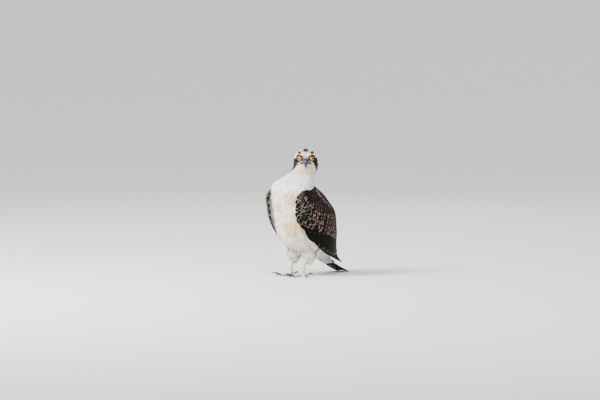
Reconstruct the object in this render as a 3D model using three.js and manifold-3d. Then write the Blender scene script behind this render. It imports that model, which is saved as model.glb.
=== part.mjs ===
// A life-size osprey standing with folded wings, its head turned to its left.
// Millimetres, +Z up. The bird's body faces -Y, its left side is +X, and the floor is z = 0.
// Each node is one closed solid: the flesh is one lofted body parted by thin cuts, and the
// wings, tail, thighs and crest carry their feathers as thin vanes fused to a core.
import * as THREE from "three";
import { mergeVertices } from "three/addons/utils/BufferGeometryUtils.js";
import Module from "manifold-3d";

const wasm = await Module();
wasm.setup();

// Driving dimensions
const GAP = 0.35; // clearance between two nodes that meet
const HEAD_YAW = 40; // degrees that the head turns to the bird's left
const HEAD_X = 6; // place of the head's axis
const HEAD_Y = 22;
const EYE_Z = 389; // height of the eyes above the floor
const CROWN_Z = 419;
const NECK_CUT_Z = 346; // where head and neck part
const TORSO_CUT_Z = 306; // where neck and torso part
const EYE_R = 10.2; // radius of the eyeball
const EYE_SIDE = 17.2; // eyeball centre from the head's middle plane
const EYE_FORWARD = 24.5;
const EYE_TURN = 30; // degrees that each eye looks outward
const SECTION_SIDES = 26; // sides of a section of the body
const SECTION_POWER = 2.25; // 2 is an ellipse, more is squarer

const V = (x, y, z) => new THREE.Vector3(x, y, z);
const rad = THREE.MathUtils.degToRad;
const mix = THREE.MathUtils.lerp;
const clamp01 = (x) => Math.min(1, Math.max(0, x));
const smooth = (a, b, x) => THREE.MathUtils.smoothstep(x, a, b);

// Seeded random draws, so that the feathers vary alike on every run
let seed = 7;
function random(low, high) {
  seed = (seed * 16807) % 2147483647;
  return low + ((high - low) * seed) / 2147483647;
}

// Smooth curve through rows of numbers: row 0 is the key, in rising order
function through(rows) {
  const slope = (i, c) => {
    const a = rows[Math.max(0, i - 1)];
    const b = rows[Math.min(rows.length - 1, i + 1)];
    return (b[c] - a[c]) / (b[0] - a[0]);
  };
  return (key) => {
    const k = Math.min(rows[rows.length - 1][0], Math.max(rows[0][0], key));
    let i = 0;
    while (i < rows.length - 2 && k > rows[i + 1][0]) i++;
    const [p, q] = [rows[i], rows[i + 1]];
    const span = q[0] - p[0];
    const s = (k - p[0]) / span;
    const h = (c) => {
      const [s2, s3] = [s * s, s * s * s];
      return (
        (2 * s3 - 3 * s2 + 1) * p[c] +
        (s3 - 2 * s2 + s) * span * slope(i, c) +
        (3 * s2 - 2 * s3) * q[c] +
        (s3 - s2) * span * slope(i + 1, c)
      );
    };
    return p.map((_, c) => (c ? h(c) : k));
  };
}

// Solids from points
function manifoldOf(points, triangles) {
  const vertProperties = new Float32Array(points.length * 3);
  points.forEach((p, i) => vertProperties.set([p.x, p.y, p.z], 3 * i));
  const triVerts = new Uint32Array(triangles.flat());
  const made = new wasm.Manifold(
    new wasm.Mesh({ numProp: 3, vertProperties, triVerts }),
  );
  if (made.volume() > 0) return made;
  const turned = triangles.map(([a, b, c]) => [a, c, b]);
  return new wasm.Manifold(
    new wasm.Mesh({
      numProp: 3,
      vertProperties,
      triVerts: new Uint32Array(turned.flat()),
    }),
  );
}

// A solid skinned over closed rings of equal count, with a fan on each end
function loft(rings) {
  const sides = rings[0].length;
  const points = rings.flat();
  const triangles = [];
  for (let r = 0; r + 1 < rings.length; r++) {
    for (let i = 0; i < sides; i++) {
      const j = (i + 1) % sides;
      const [a, b] = [r * sides + i, r * sides + j];
      triangles.push([a, b, b + sides], [a, b + sides, a + sides]);
    }
  }
  for (const end of [0, rings.length - 1]) {
    const middle = rings[end]
      .reduce((sum, p) => sum.add(p), V(0, 0, 0))
      .divideScalar(sides);
    const centre = points.push(middle) - 1;
    for (let i = 0; i < sides; i++) {
      const [a, b] = [end * sides + i, end * sides + ((i + 1) % sides)];
      triangles.push(end ? [centre, a, b] : [centre, b, a]);
    }
  }
  return manifoldOf(points, triangles);
}

// A thin closed sheet between two faces that are split into triangles alike
function sheet(along, across, outer, inner) {
  const points = [];
  const at = (face, i, j) => (face * (along + 1) + i) * (across + 1) + j;
  for (const face of [outer, inner]) {
    for (let i = 0; i <= along; i++) {
      for (let j = 0; j <= across; j++) {
        points.push(face(i / along, j / across));
      }
    }
  }
  const triangles = [];
  const quad = (a, b, c, d) => triangles.push([a, b, c], [a, c, d]);
  for (let i = 0; i < along; i++) {
    for (let j = 0; j < across; j++) {
      const corner = (f) => [at(f, i, j), at(f, i + 1, j), at(f, i + 1, j + 1), at(f, i, j + 1)];
      const [p, q, r, s] = corner(0);
      quad(p, q, r, s);
      const [t, u, v, w] = corner(1);
      triangles.push([t, v, u], [t, w, v]);
    }
  }
  for (let i = 0; i < along; i++) {
    quad(at(0, i, 0), at(1, i, 0), at(1, i + 1, 0), at(0, i + 1, 0));
    quad(at(0, i + 1, across), at(1, i + 1, across), at(1, i, across), at(0, i, across));
  }
  for (let j = 0; j < across; j++) {
    quad(at(0, 0, j + 1), at(1, 0, j + 1), at(1, 0, j), at(0, 0, j));
    quad(at(0, along, j), at(1, along, j), at(1, along, j + 1), at(0, along, j + 1));
  }
  return manifoldOf(points, triangles);
}

// A tapering round limb along a path of stations [point, half-width, half-height]
function limb(stations, sides, steps, grow = 0) {
  const curve = new THREE.CatmullRomCurve3(stations.map((s) => s[0]));
  const last = stations.length - 1;
  const size = (t, c) => {
    const i = Math.min(last - 1, Math.floor(t * last));
    return mix(stations[i][c], stations[i + 1][c], t * last - i) + grow;
  };
  const rings = [];
  for (let k = 0; k <= steps; k++) {
    const t = k / steps;
    const centre = curve.getPoint(t);
    const ahead = curve.getTangent(t);
    const side = V(0, 0, 1).cross(ahead);
    if (side.length() < 0.05) side.set(1, 0, 0);
    side.normalize();
    const up = ahead.clone().cross(side).normalize();
    const ring = [];
    for (let i = 0; i < sides; i++) {
      const a = (2 * Math.PI * i) / sides;
      ring.push(
        centre
          .clone()
          .addScaledVector(side, size(t, 1) * Math.cos(a))
          .addScaledVector(up, size(t, 2) * Math.sin(a)),
      );
    }
    rings.push(ring);
  }
  return loft(rings);
}

function ball(centre, radius, detail = 12) {
  const g = new THREE.SphereGeometry(radius, 2 * detail, detail);
  g.translate(centre.x, centre.y, centre.z);
  return solidOfGeometry(g);
}

function solidOfGeometry(geometry) {
  const bare = geometry.clone();
  bare.deleteAttribute("normal");
  bare.deleteAttribute("uv");
  const merged = mergeVertices(bare, 1e-4);
  const position = merged.attributes.position;
  const points = [];
  for (let i = 0; i < position.count; i++) {
    points.push(V(0, 0, 0).fromBufferAttribute(position, i));
  }
  const triangles = [];
  const index = merged.index.array;
  for (let i = 0; i < index.length; i += 3) {
    const t = [index[i], index[i + 1], index[i + 2]];
    if (new Set(t).size === 3) triangles.push(t);
  }
  return manifoldOf(points, triangles);
}

function slab(lowZ, highZ) {
  const g = new THREE.BoxGeometry(900, 900, highZ - lowZ);
  g.translate(0, 0, (lowZ + highZ) / 2);
  return solidOfGeometry(g);
}

function joined(solids) {
  return solids.reduce((whole, piece) => whole.add(piece));
}

function cutBy(solid, cutters) {
  return cutters.reduce((whole, cutter) => whole.subtract(cutter), solid);
}

// Only the largest closed surface of a solid: drops scraps and fills sealed hollows
function largest(solid) {
  const parts = solid.decompose();
  return parts.reduce((a, b) => (a.volume() > b.volume() ? a : b));
}

// The body: neck, torso and head lofted as one, from level sections.
// Height, middle x, middle y, half-width, reach forward, reach back, turn in degrees
const SECTIONS = [
  [50, 0, 118, 12, 8, 12, 0],
  [60, 0, 108, 24, 30, 30, 0],
  [78, 0, 84, 40, 66, 50, 0],
  [100, 0, 57, 58, 99, 84, 0],
  [130, 0, 36, 72, 105, 98, 0],
  [165, 0, 24, 81, 104, 101, 0],
  [200, 0, 12, 86, 100, 102, 0],
  [235, 0, -4, 86, 91, 92, 0],
  [265, 0, -22, 80, 74, 68, 0],
  [285, -2, -31, 77, 66, 56, 0],
  [302, -4, -31, 71, 59, 52, 0],
  [318, -1, -17, 59, 52, 48, 6],
  [334, 3, 2, 48, 44, 44, 22],
  [350, HEAD_X - 1, HEAD_Y - 5, 43, 37, 43, HEAD_YAW],
  [364, HEAD_X, HEAD_Y, 41, 36, 46, HEAD_YAW],
  [378, HEAD_X, HEAD_Y, 40.5, 37.5, 47, HEAD_YAW],
  [392, HEAD_X, HEAD_Y, 38, 37, 46, HEAD_YAW],
  [404, HEAD_X, HEAD_Y, 32, 31, 40, HEAD_YAW],
  [413, HEAD_X, HEAD_Y, 22, 21, 29, HEAD_YAW],
  [CROWN_Z, HEAD_X, HEAD_Y - 2, 6, 6, 8, HEAD_YAW],
];
const sectionAt = through(SECTIONS);

// A point of the body's surface: angle 0 is -Y and 90 is the bird's left
function bodyPoint(z, angle, grow = 0) {
  const [, x, y, wide, front, back, turn] = sectionAt(z);
  const a = rad(angle - turn);
  const [s, c] = [Math.sin(a), Math.cos(a)];
  const power = 2 / SECTION_POWER;
  const side = Math.sign(s) * Math.abs(s) ** power * (wide + grow);
  const reach = c > 0 ? front : back;
  const ahead = Math.sign(c) * Math.abs(c) ** power * (reach + grow);
  return V(side, -ahead, 0).applyAxisAngle(V(0, 0, 1), rad(turn)).add(V(x, y, z));
}

function bodySolid(grow = 0) {
  const levels = [50, 54, 62, 76, 94, 116, 142, 170, 200, 230, 258, 282, 302];
  levels.push(320, 336, 350, 360, 370, 380, 389, 397, 404, 410, 415, CROWN_Z);
  const rings = levels.map((z) => {
    const ring = [];
    for (let i = 0; i < SECTION_SIDES; i++) {
      ring.push(bodyPoint(z, (360 * i) / SECTION_SIDES, grow));
    }
    return ring;
  });
  rings[0].forEach((p) => (p.z -= grow));
  rings[rings.length - 1].forEach((p) => (p.z += grow));
  return loft(rings);
}

// Head space: side to the bird's left, forward along the bill, up
function headPoint(side, forward, up) {
  return V(side, -forward, up)
    .applyAxisAngle(V(0, 0, 1), rad(HEAD_YAW))
    .add(V(HEAD_X, HEAD_Y, EYE_Z));
}

const eyeCentre = (s) => headPoint(s * EYE_SIDE, EYE_FORWARD, 0);
function eyeAxis(s) {
  const a = rad(HEAD_YAW + s * EYE_TURN);
  return V(Math.sin(a), -Math.cos(a), 0);
}

function lidRing(s) {
  const ringR = 7.9;
  const thick = 1.9;
  const g = new THREE.TorusGeometry(ringR, thick, 4, 14);
  g.lookAt(eyeAxis(s));
  const c = eyeCentre(s).addScaledVector(eyeAxis(s), 6.2);
  g.translate(c.x, c.y, c.z);
  return solidOfGeometry(g);
}

function browRidge(s) {
  return limb(
    [
      [headPoint(s * 9, 32, 8), 3, 3],
      [headPoint(s * 17, 31.5, 11), 6.5, 4.2],
      [headPoint(s * 26, 24, 10.4), 7, 4.4],
      [headPoint(s * 33, 11, 6.5), 3.5, 3],
    ],
    6,
    4,
  );
}

// Bill, in head space: the upper half hooks over the lower
const BILL_LENGTH = 25; // cere and culmen, seen from above
const BILL_DROP = 34; // from the eyes' height down to the hook's tip
const BILL_HALF_WIDTH = 10.4;
function upperBill(grow = 0) {
  const base = 36;
  const tip = base + BILL_LENGTH;
  return limb(
    [
      [headPoint(0, base - 7, -6.5), BILL_HALF_WIDTH, 9],
      [headPoint(0, base, -6.4), BILL_HALF_WIDTH, 9.4],
      [headPoint(0, base + 0.42 * BILL_LENGTH, -7.2), BILL_HALF_WIDTH * 0.9, 9.2],
      [headPoint(0, tip - 6, -11.5), BILL_HALF_WIDTH * 0.72, 8],
      [headPoint(0, tip - 3, -19), BILL_HALF_WIDTH * 0.5, 6],
      [headPoint(0, tip - 2.6, -26.5), BILL_HALF_WIDTH * 0.27, 3.4],
      [headPoint(0, tip - 4.5, -BILL_DROP), 0.5, 0.7],
    ],
    10,
    10,
    grow,
  );
}

function lowerBill(grow = 0) {
  return limb(
    [
      [headPoint(0, 22, -16), 7, 3.2],
      [headPoint(0, 36, -16.6), 6.6, 3.2],
      [headPoint(0, 46, -17.2), 5, 2.8],
      [headPoint(0, 53, -17.4), 2.4, 1.8],
    ],
    8,
    5,
    grow,
  );
}

// Vanes on a surface: place(t, w) gives a point, and lift raises it along the outward normal
function normalAt(place, t, w) {
  const e = 0.004;
  const dt = place(t + e, w).sub(place(t - e, w));
  const dw = place(t, w + e).sub(place(t, w - e));
  return dt.cross(dw).normalize();
}

// One feather: from root to tip in the surface's own coordinates, half-width in millimetres
function vane(place, root, tip, half, lift, opts = {}) {
  const { thick = 0.9, along = 4, across = 1, tilt = 0.6, sink = 3, pointed = false, outward = 1 } = opts;
  const profile = (u) => {
    const widen = mix(0.55, 1, smooth(0, 0.35, u));
    const round = Math.sqrt(Math.max(0, 1 - clamp01((u - 0.62) / 0.4) ** 2.4));
    const taper = 1 - 0.9 * clamp01((u - 0.3) / 0.7);
    return widen * (pointed ? taper : round);
  };
  const point = (u, v, drop) => {
    const t = mix(root[0], tip[0], u);
    const w = mix(root[1], tip[1], u);
    const e = 0.004;
    const across1 = place(t, w + e).sub(place(t, w - e)).length() / (2 * e);
    const along1 = place(t + e, w).sub(place(t - e, w)).length() / (2 * e);
    const off = (v - 0.5) * 2 * half * profile(u);
    const tw = w + off / Math.max(across1, 1);
    const bow = (0.5 * half * Math.abs(v - 0.5) * 2 * smooth(0.55, 1, u)) / Math.max(along1, 1);
    const height =
      mix(lift - sink, lift, smooth(0, 0.45, u)) + tilt * (v - 0.5) * 2 - 0.5 * Math.abs(v - 0.5);
    const n = normalAt(place, t, tw).multiplyScalar(outward);
    return place(t - bow, tw).addScaledVector(n, height - drop);
  };
  return sheet(
    along,
    across,
    (u, v) => point(u, v, 0),
    (u, v) => point(u, v, mix(thick * 1.3, thick * 0.75, u)),
  );
}

// The folded left wing's outer surface: t runs from shoulder to wing tip, w from the leading
// edge at the breast round the side to the trailing edge by the spine
const LEADING = [
  [0, 70, -48, 287],
  [0.125, 65, -79, 266],
  [0.25, 58, -84, 228],
  [0.375, 57, -75, 190],
  [0.5, 58, -52, 148],
  [0.625, 54, -18, 112],
  [0.75, 52, 30, 78],
  [0.875, 40, 104, 54],
  [1, 18, 196, 31],
];
const TRAILING = [
  [0, 32, 14, 296],
  [0.2, 22, 64, 256],
  [0.4, 12, 112, 210],
  [0.6, 9, 138, 150],
  [0.8, 8, 160, 90],
  [1, 8, 204, 36],
];
const BULGE = [
  [0, 15],
  [0.125, 44],
  [0.25, 58],
  [0.375, 67],
  [0.5, 59],
  [0.625, 48],
  [0.75, 31],
  [0.875, 11],
  [1, 3],
];
const leadingAt = through(LEADING);
const trailingAt = through(TRAILING);
const bulgeAt = through(BULGE);

function extended(at, t) {
  if (t <= 1) return V(...at(t).slice(1));
  const end = V(...at(1).slice(1));
  const before = V(...at(0.96).slice(1));
  return end.clone().addScaledVector(end.clone().sub(before), (t - 1) / 0.04);
}

function wingPlace(t, w) {
  const lead = extended(leadingAt, t);
  const trail = extended(trailingAt, t);
  const bulge = bulgeAt(t)[1];
  const a = lead.clone().add(V(bulge, 0.45 * bulge, 0));
  const b = trail.clone().add(V(1.6 * bulge, 0, 0));
  const v = 1 - w;
  return lead
    .multiplyScalar(v * v * v)
    .addScaledVector(a, 3 * v * v * w)
    .addScaledVector(b, 3 * v * w * w)
    .addScaledVector(trail, w * w * w);
}

const WING_CORE_END = 0.66; // the fleshy core stops here, and vanes reach on to the tip
function wingCore() {
  const depth = (t) => mix(26, 2.4, smooth(0.36, 0.64, t));
  const at = (u, v) => [mix(0.015, WING_CORE_END, u), mix(0.02, 0.98, v)];
  return sheet(
    10,
    7,
    (u, v) => wingPlace(...at(u, v)),
    (u, v) => {
      const [t, w] = at(u, v);
      return wingPlace(t, w).addScaledVector(normalAt(wingPlace, t, w), -depth(t));
    },
  );
}

// Tiers of flight feathers and coverts: count, w span, root t, tip t at both ends, half-width, lift
const TIERS = [
  { name: "primaries", count: 6, w: [0.1, 0.6], root: [0.46, 0.5], tip: [0.82, 1.0], half: 11, lift: 1.0 },
  { name: "secondaries", count: 7, w: [0.22, 0.94], root: [0.38, 0.5], tip: [0.64, 0.84], half: 14, lift: 2.8 },
  { name: "primary coverts", count: 2, w: [0.04, 0.2], root: [0.3, 0.38], tip: [0.52, 0.6], half: 9, lift: 3.8 },
  { name: "greater coverts", count: 6, w: [0.12, 0.9], root: [0.22, 0.42], tip: [0.44, 0.66], half: 15, lift: 4.4 },
  { name: "median coverts", count: 7, w: [0.08, 0.92], root: [0.14, 0.3], tip: [0.33, 0.54], half: 15.5, lift: 5.6 },
  { name: "lesser coverts", count: 6, w: [0.09, 0.9], root: [0.06, 0.18], tip: [0.22, 0.41], half: 15, lift: 6.6 },
  { name: "scapulars", count: 5, w: [0.2, 0.92], root: [0.02, 0.04], tip: [0.13, 0.27], half: 15, lift: 7.6 },
];

function wingVanes() {
  const vanes = [];
  for (const tier of TIERS) {
    for (let i = 0; i < tier.count; i++) {
      const s = tier.count > 1 ? i / (tier.count - 1) : 0;
      const w = mix(tier.w[0], tier.w[1], s);
      const isPrimary = tier.name === "primaries";
      const tipT = isPrimary ? mix(tier.tip[1], tier.tip[0], s) : mix(tier.tip[0], tier.tip[1], s);
      const tipW = isPrimary ? mix(0.4, 0.85, s) : w + 0.02;
      const rootW = w;
      vanes.push(
        vane(
          wingPlace,
          [mix(tier.root[0], tier.root[1], s), rootW],
          [tipT + random(-0.006, 0.006), tipW],
          tier.half * (isPrimary ? 1 : random(0.95, 1.05)),
          tier.lift + (isPrimary ? 0.12 * i : 0),
          { along: isPrimary ? 4 : 3, thick: 0.95, tilt: 0.75 },
        ),
      );
    }
  }
  return vanes;
}

// The tail: its feathers closed into a narrow fan that rests its tip on the floor
const TAIL_ROOT = V(0, 96, 74);
const TAIL_TIP = V(0, 236, -1.6);
const TAIL_COUNT = 11;
const TAIL_HALF_ROOT = 17; // half the tail's width at its root and at its tip
const TAIL_HALF_TIP = 27;
function tailPlace(t, w) {
  // t from root to tip, w from -1 at the right edge to 1 at the left
  const fall = 1.25 * t - 0.25 * t * t;
  const side = mix(TAIL_HALF_ROOT, TAIL_HALF_TIP, t) * w;
  const arch = -7 * w * w * (1 - 0.8 * t);
  const y = mix(TAIL_ROOT.y, TAIL_TIP.y, t);
  return V(side, y, mix(TAIL_ROOT.z, TAIL_TIP.z, fall) + arch);
}

function tailSolid() {
  const vanes = [];
  for (let i = 0; i < TAIL_COUNT; i++) {
    const w = mix(-1, 1, i / (TAIL_COUNT - 1));
    const lift = 2.4 - 2.2 * Math.abs(w);
    vanes.push(
      vane(tailPlace, [0.1, w * 0.75], [1 - 0.03 * Math.abs(w), w], 9.5, lift, {
        along: 4,
        thick: 1,
        tilt: w > 0 ? 0.6 : -0.6,
        sink: 1.5,
        outward: -1,
      }),
    );
  }
  const core = sheet(
    5,
    6,
    (u, v) => tailPlace(mix(0.02, 0.5, u), mix(-0.95, 0.95, v)).add(V(0, 0, mix(4, 1, u))),
    (u, v) => tailPlace(mix(0.02, 0.5, u), mix(-0.95, 0.95, v)).add(V(0, 0, mix(-9, -1.2, u))),
  );
  return joined([core, ...vanes]);
}

// Legs. Each side: s is 1 for the left and -1 for the right
const FOOT = { left: V(30, -27, 0), right: V(-30, -15, 0) };
const THIGH_LOW_Z = 66;
const TARSUS_R = 6.4;
const sideName = (s) => (s > 0 ? "left" : "right");

function thighAxis(s) {
  return [V(s * 42, 34, 142), V(s * 38, 22, 112), V(s * 33, 8, 88), V(s * 31, -1, THIGH_LOW_Z)];
}

function thigh(s, grow = 0) {
  const [a, b, c, d] = thighAxis(s);
  return limb(
    [
      [a, 29, 32],
      [b, 28, 29],
      [c, 22, 23],
      [d, 13, 13.5],
    ],
    12,
    5,
    grow,
  );
}

function thighPlace(s) {
  const [, b, c, d] = thighAxis(s);
  const hem = d.clone().add(V(0, -5, s > 0 ? -20 : -26));
  const curve = new THREE.CatmullRomCurve3([b, c, d, hem]);
  return (t, w) => {
    const centre = curve.getPoint(clamp01(t));
    const angle = 2 * Math.PI * w;
    const r = mix(28.5, 12, smooth(0, 0.85, t));
    return centre.add(V(s * Math.sin(angle) * r, -Math.cos(angle) * r * 1.05, 0));
  };
}

function thighLocks(s) {
  const locks = [];
  const place = thighPlace(s);
  const count = 6;
  for (const tier of [0, 1]) {
    for (let i = 0; i < count; i++) {
      const w = (i + 0.5 * tier) / count;
      const facing = Math.cos(2 * Math.PI * w);
      const tip = mix(0.66, 0.88, tier) + 0.06 * facing + random(-0.02, 0.02);
      locks.push(
        vane(place, [0.12 + 0.25 * tier, w], [tip, w], 11 - 2 * tier, 1.8, {
          along: 3,
          thick: 1.1,
          tilt: 0.4,
          sink: 4,
          pointed: true,
          outward: s,
        }),
      );
    }
  }
  return locks;
}

function ankle(s) {
  return FOOT[sideName(s)].clone().add(V(0, 4, 15));
}

function tarsus(s, grow = 0) {
  const top = V(s * 31, 1, THIGH_LOW_Z + 8);
  return limb(
    [
      [top, TARSUS_R * 1.15, TARSUS_R * 1.2],
      [top.clone().lerp(ankle(s), 0.35), TARSUS_R, TARSUS_R * 1.05],
      [top.clone().lerp(ankle(s), 0.75), TARSUS_R * 0.95, TARSUS_R],
      [ankle(s), TARSUS_R * 1.2, TARSUS_R * 1.15],
    ],
    10,
    4,
    grow,
  );
}

// Toes: name, direction in degrees from straight ahead towards the outer side, length, radius
const TOES = [
  { name: "inner", turn: -32, length: 40, radius: 5 },
  { name: "middle", turn: 4, length: 46, radius: 5.2 },
  { name: "outer", turn: 58, length: 42, radius: 4.8 },
  { name: "hind", turn: 172, length: 31, radius: 5.2 },
];
const CLAW_LENGTH = 25;

function toeDirection(s, toe) {
  const a = rad(toe.turn);
  return V(s * Math.sin(a), -Math.cos(a), 0);
}

function toePath(s, toe) {
  const start = FOOT[sideName(s)];
  const d = toeDirection(s, toe);
  const r = toe.radius;
  const at = (share, z) => start.clone().addScaledVector(d, share * toe.length).add(V(0, 0, z));
  return [
    [at(-0.04, 10), r * 1.1, r],
    [at(0.2, 7.6), r, r],
    [at(0.45, 5.4), r * 0.95, r],
    [at(0.62, 5.8), r * 0.85, r * 0.95],
    [at(0.82, 4.2), r * 0.85, r * 0.95],
    [at(1, 4.6), r * 0.62, r * 0.72],
  ];
}

function clawSolid(s, toe, grow = 0) {
  const start = FOOT[sideName(s)];
  const d = toeDirection(s, toe);
  const r = toe.radius * 0.62;
  const at = (ahead, z) => start.clone().addScaledVector(d, toe.length + ahead).add(V(0, 0, z));
  return limb(
    [
      [at(-5, 5.2), r * 0.8, r * 0.85],
      [at(1, 7), r * 0.86, r],
      [at(CLAW_LENGTH * 0.3, 9), r * 0.74, r * 0.86],
      [at(CLAW_LENGTH * 0.58, 8), r * 0.55, r * 0.62],
      [at(CLAW_LENGTH * 0.76, 4.6), r * 0.34, r * 0.38],
      [at(CLAW_LENGTH * 0.82, 1), 0.35, 0.35],
    ],
    6,
    6,
    grow,
  );
}

function footSolid(s) {
  const base = FOOT[sideName(s)];
  const toes = TOES.map((toe) => limb(toePath(s, toe), 7, 6));
  const knuckle = limb(
    [
      [base.clone().add(V(0, 5, 18)), 6.4, 6.2],
      [base.clone().add(V(0, 2, 11)), 8, 8],
      [base.clone().add(V(0, 0, 5)), 8.5, 9],
    ],
    8,
    3,
  );
  return joined([knuckle, ...toes]);
}

// A nape crest of short lanceolate feathers, standing a little off the back of the head
function crest() {
  const locks = [];
  const place = (t, w) => bodyPoint(mix(406, 352, t), HEAD_YAW + 180 + 64 * w);
  for (const tier of [0, 1]) {
    const count = 5 + tier;
    for (let i = 0; i < count; i++) {
      const w = mix(-0.8, 0.8, i / (count - 1)) + random(-0.03, 0.03);
      const root = 0.1 + 0.3 * tier;
      locks.push(
        vane(place, [root, w], [root + 0.5 + random(-0.03, 0.03), w * 1.03], 7.5, 3, {
          along: 3,
          thick: 1,
          tilt: 0.3,
          sink: 5,
          pointed: true,
        }),
      );
    }
  }
  return locks;
}

// Assembly of the solids
const floorAndAbove = slab(0, 600);
const body = bodySolid();
const bodyGrown = bodySolid(GAP);
const eyes = [1, -1].map((s) => ball(eyeCentre(s), EYE_R, 8));
const eyesGrown = [1, -1].map((s) => ball(eyeCentre(s), EYE_R + GAP, 8));
const sockets = [1, -1].map((s) =>
  ball(eyeCentre(s).addScaledVector(eyeAxis(s), 9.5), 7.6, 6),
);
const nostrils = [1, -1].map((s) =>
  limb(
    [
      [headPoint(s * 10, 43, -3.4), 1.1, 1.5],
      [headPoint(s * 5.4, 44.5, -4.2), 1.1, 1.5],
    ],
    8,
    2,
  ),
);
const headWhole = joined([
  body.intersect(slab(NECK_CUT_Z + GAP / 2, 600)),
  ...[1, -1].map(browRidge),
  ...[1, -1].map(lidRing),
  ...crest(),
]);
const solids = new Map();
solids.set(
  "head",
  cutBy(headWhole, [...sockets, ...eyesGrown, upperBill(GAP), lowerBill(GAP)]).intersect(
    slab(NECK_CUT_Z + GAP / 2, 600),
  ),
);
solids.set("neck", body.intersect(slab(TORSO_CUT_Z + GAP / 2, NECK_CUT_Z - GAP / 2)));
solids.set("torso", body.intersect(slab(0, TORSO_CUT_Z - GAP / 2)));
solids.set("eye_left", eyes[0]);
solids.set("eye_right", eyes[1]);
solids.set("bill_upper", cutBy(upperBill(), [...nostrils, ...eyesGrown, lowerBill(GAP)]));
solids.set("bill_lower", lowerBill());

const wing = joined([wingCore(), ...wingVanes()]);
const mirror = (solid) => solid.mirror([1, 0, 0]);
const midline = slab(0, 600).scale([GAP / 900, 1, 1]);
const thighsGrown = [1, -1].map((s) => thigh(s, GAP));
for (const s of [1, -1]) {
  const name = sideName(s);
  const locks = joined(thighLocks(s));
  const thighWhole = joined([thigh(s), locks]);
  solids.set("thigh_" + name, cutBy(thighWhole, [bodyGrown, tarsus(s, GAP)]));
  solids.set("tarsus_" + name, tarsus(s));
  const foot = cutBy(footSolid(s), [tarsus(s, GAP), ...TOES.map((toe) => clawSolid(s, toe, GAP))]);
  solids.set("foot_" + name, foot.intersect(floorAndAbove));
  for (const toe of TOES) {
    solids.set("claw_" + toe.name + "_" + name, clawSolid(s, toe).intersect(floorAndAbove));
  }
  const whole = s > 0 ? wing : mirror(wing);
  solids.set("wing_" + name, cutBy(whole, [bodyGrown, ...thighsGrown, midline]).intersect(floorAndAbove));
}
const tail = cutBy(tailSolid(), [bodyGrown]).intersect(floorAndAbove);
solids.set("tail", tail);

// Materials: colour, roughness
const FINISH = {
  head: [0xe9e2d6, 0.9],
  neck: [0xefe8dc, 0.9],
  torso: [0xece5d8, 0.9],
  thigh: [0xe9e2d6, 0.9],
  wing: [0x2b211b, 0.8],
  tail: [0x2a241f, 0.8],
  eye: [0xd39a2c, 0.1],
  bill: [0x23252b, 0.35],
  tarsus: [0xc9ccc6, 0.6],
  foot: [0xc4c8c3, 0.6],
  claw: [0x111111, 0.3],
};

function meshOf(name, solid) {
  const data = largest(solid).getMesh();
  const points = new Float32Array(data.numVert * 3);
  for (let i = 0; i < data.numVert; i++) {
    const from = i * data.numProp;
    points.set(data.vertProperties.subarray(from, from + 3), i * 3);
  }
  const geometry = new THREE.BufferGeometry();
  geometry.setAttribute("position", new THREE.BufferAttribute(points, 3));
  geometry.setIndex(new THREE.BufferAttribute(data.triVerts, 1));
  geometry.computeVertexNormals();
  const [color, roughness] = FINISH[name.split("_")[0]];
  const mesh = new THREE.Mesh(
    geometry,
    new THREE.MeshStandardMaterial({ color, roughness, metalness: 0 }),
  );
  mesh.name = name;
  return mesh;
}

const osprey = new THREE.Group();
osprey.name = "osprey";
for (const [name, solid] of solids) osprey.add(meshOf(name, solid));

// The frame's origin is the middle of the whole bird's box, on the floor
const box = new THREE.Box3().setFromObject(osprey);
const middle = box.getCenter(V(0, 0, 0));
for (const mesh of osprey.children) mesh.geometry.translate(-middle.x, -middle.y, -box.min.z);

export default osprey;
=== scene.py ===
# A life-size osprey with folded wings, its head turned to its left, dressed over its frame.
# One skin and its feathers stand for the flesh, the wings and the tail; the eyes, lids, bill,
# legs, feet and claws are pieces of their own. Shapes are worked out in millimetres in the
# bird's own space, where it faces -Y and stands at z = 0, and are placed in the frame in metres.
import itertools
import math

import bpy
import numpy as np
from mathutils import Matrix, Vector
from mathutils.bvhtree import BVHTree
from mathutils.kdtree import KDTree


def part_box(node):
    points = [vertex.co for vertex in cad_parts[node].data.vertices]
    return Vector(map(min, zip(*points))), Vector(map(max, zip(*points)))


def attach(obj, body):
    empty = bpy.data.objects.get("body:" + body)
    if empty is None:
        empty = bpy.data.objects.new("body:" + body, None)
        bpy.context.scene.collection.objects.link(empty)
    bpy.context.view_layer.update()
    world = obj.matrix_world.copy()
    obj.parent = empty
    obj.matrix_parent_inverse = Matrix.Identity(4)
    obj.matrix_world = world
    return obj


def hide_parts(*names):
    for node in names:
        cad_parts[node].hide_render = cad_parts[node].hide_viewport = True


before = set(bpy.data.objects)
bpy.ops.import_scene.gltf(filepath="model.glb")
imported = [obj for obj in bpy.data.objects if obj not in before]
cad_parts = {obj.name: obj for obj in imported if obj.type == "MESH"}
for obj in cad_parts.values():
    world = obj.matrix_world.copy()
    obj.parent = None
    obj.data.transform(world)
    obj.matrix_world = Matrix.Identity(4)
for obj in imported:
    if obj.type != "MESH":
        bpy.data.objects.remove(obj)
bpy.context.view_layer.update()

rng = np.random.default_rng(11)

# Driving dimensions, shared with the solids
HEAD_YAW = 40.0  # degrees that the head turns to the bird's left
HEAD_X = 6.0
HEAD_Y = 22.0
EYE_Z = 389.0
CROWN_Z = 419.0
EYE_R = 10.2
EYE_SIDE = 17.2
EYE_FORWARD = 24.5
EYE_TURN = 30.0
SECTION_POWER = 2.25

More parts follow.
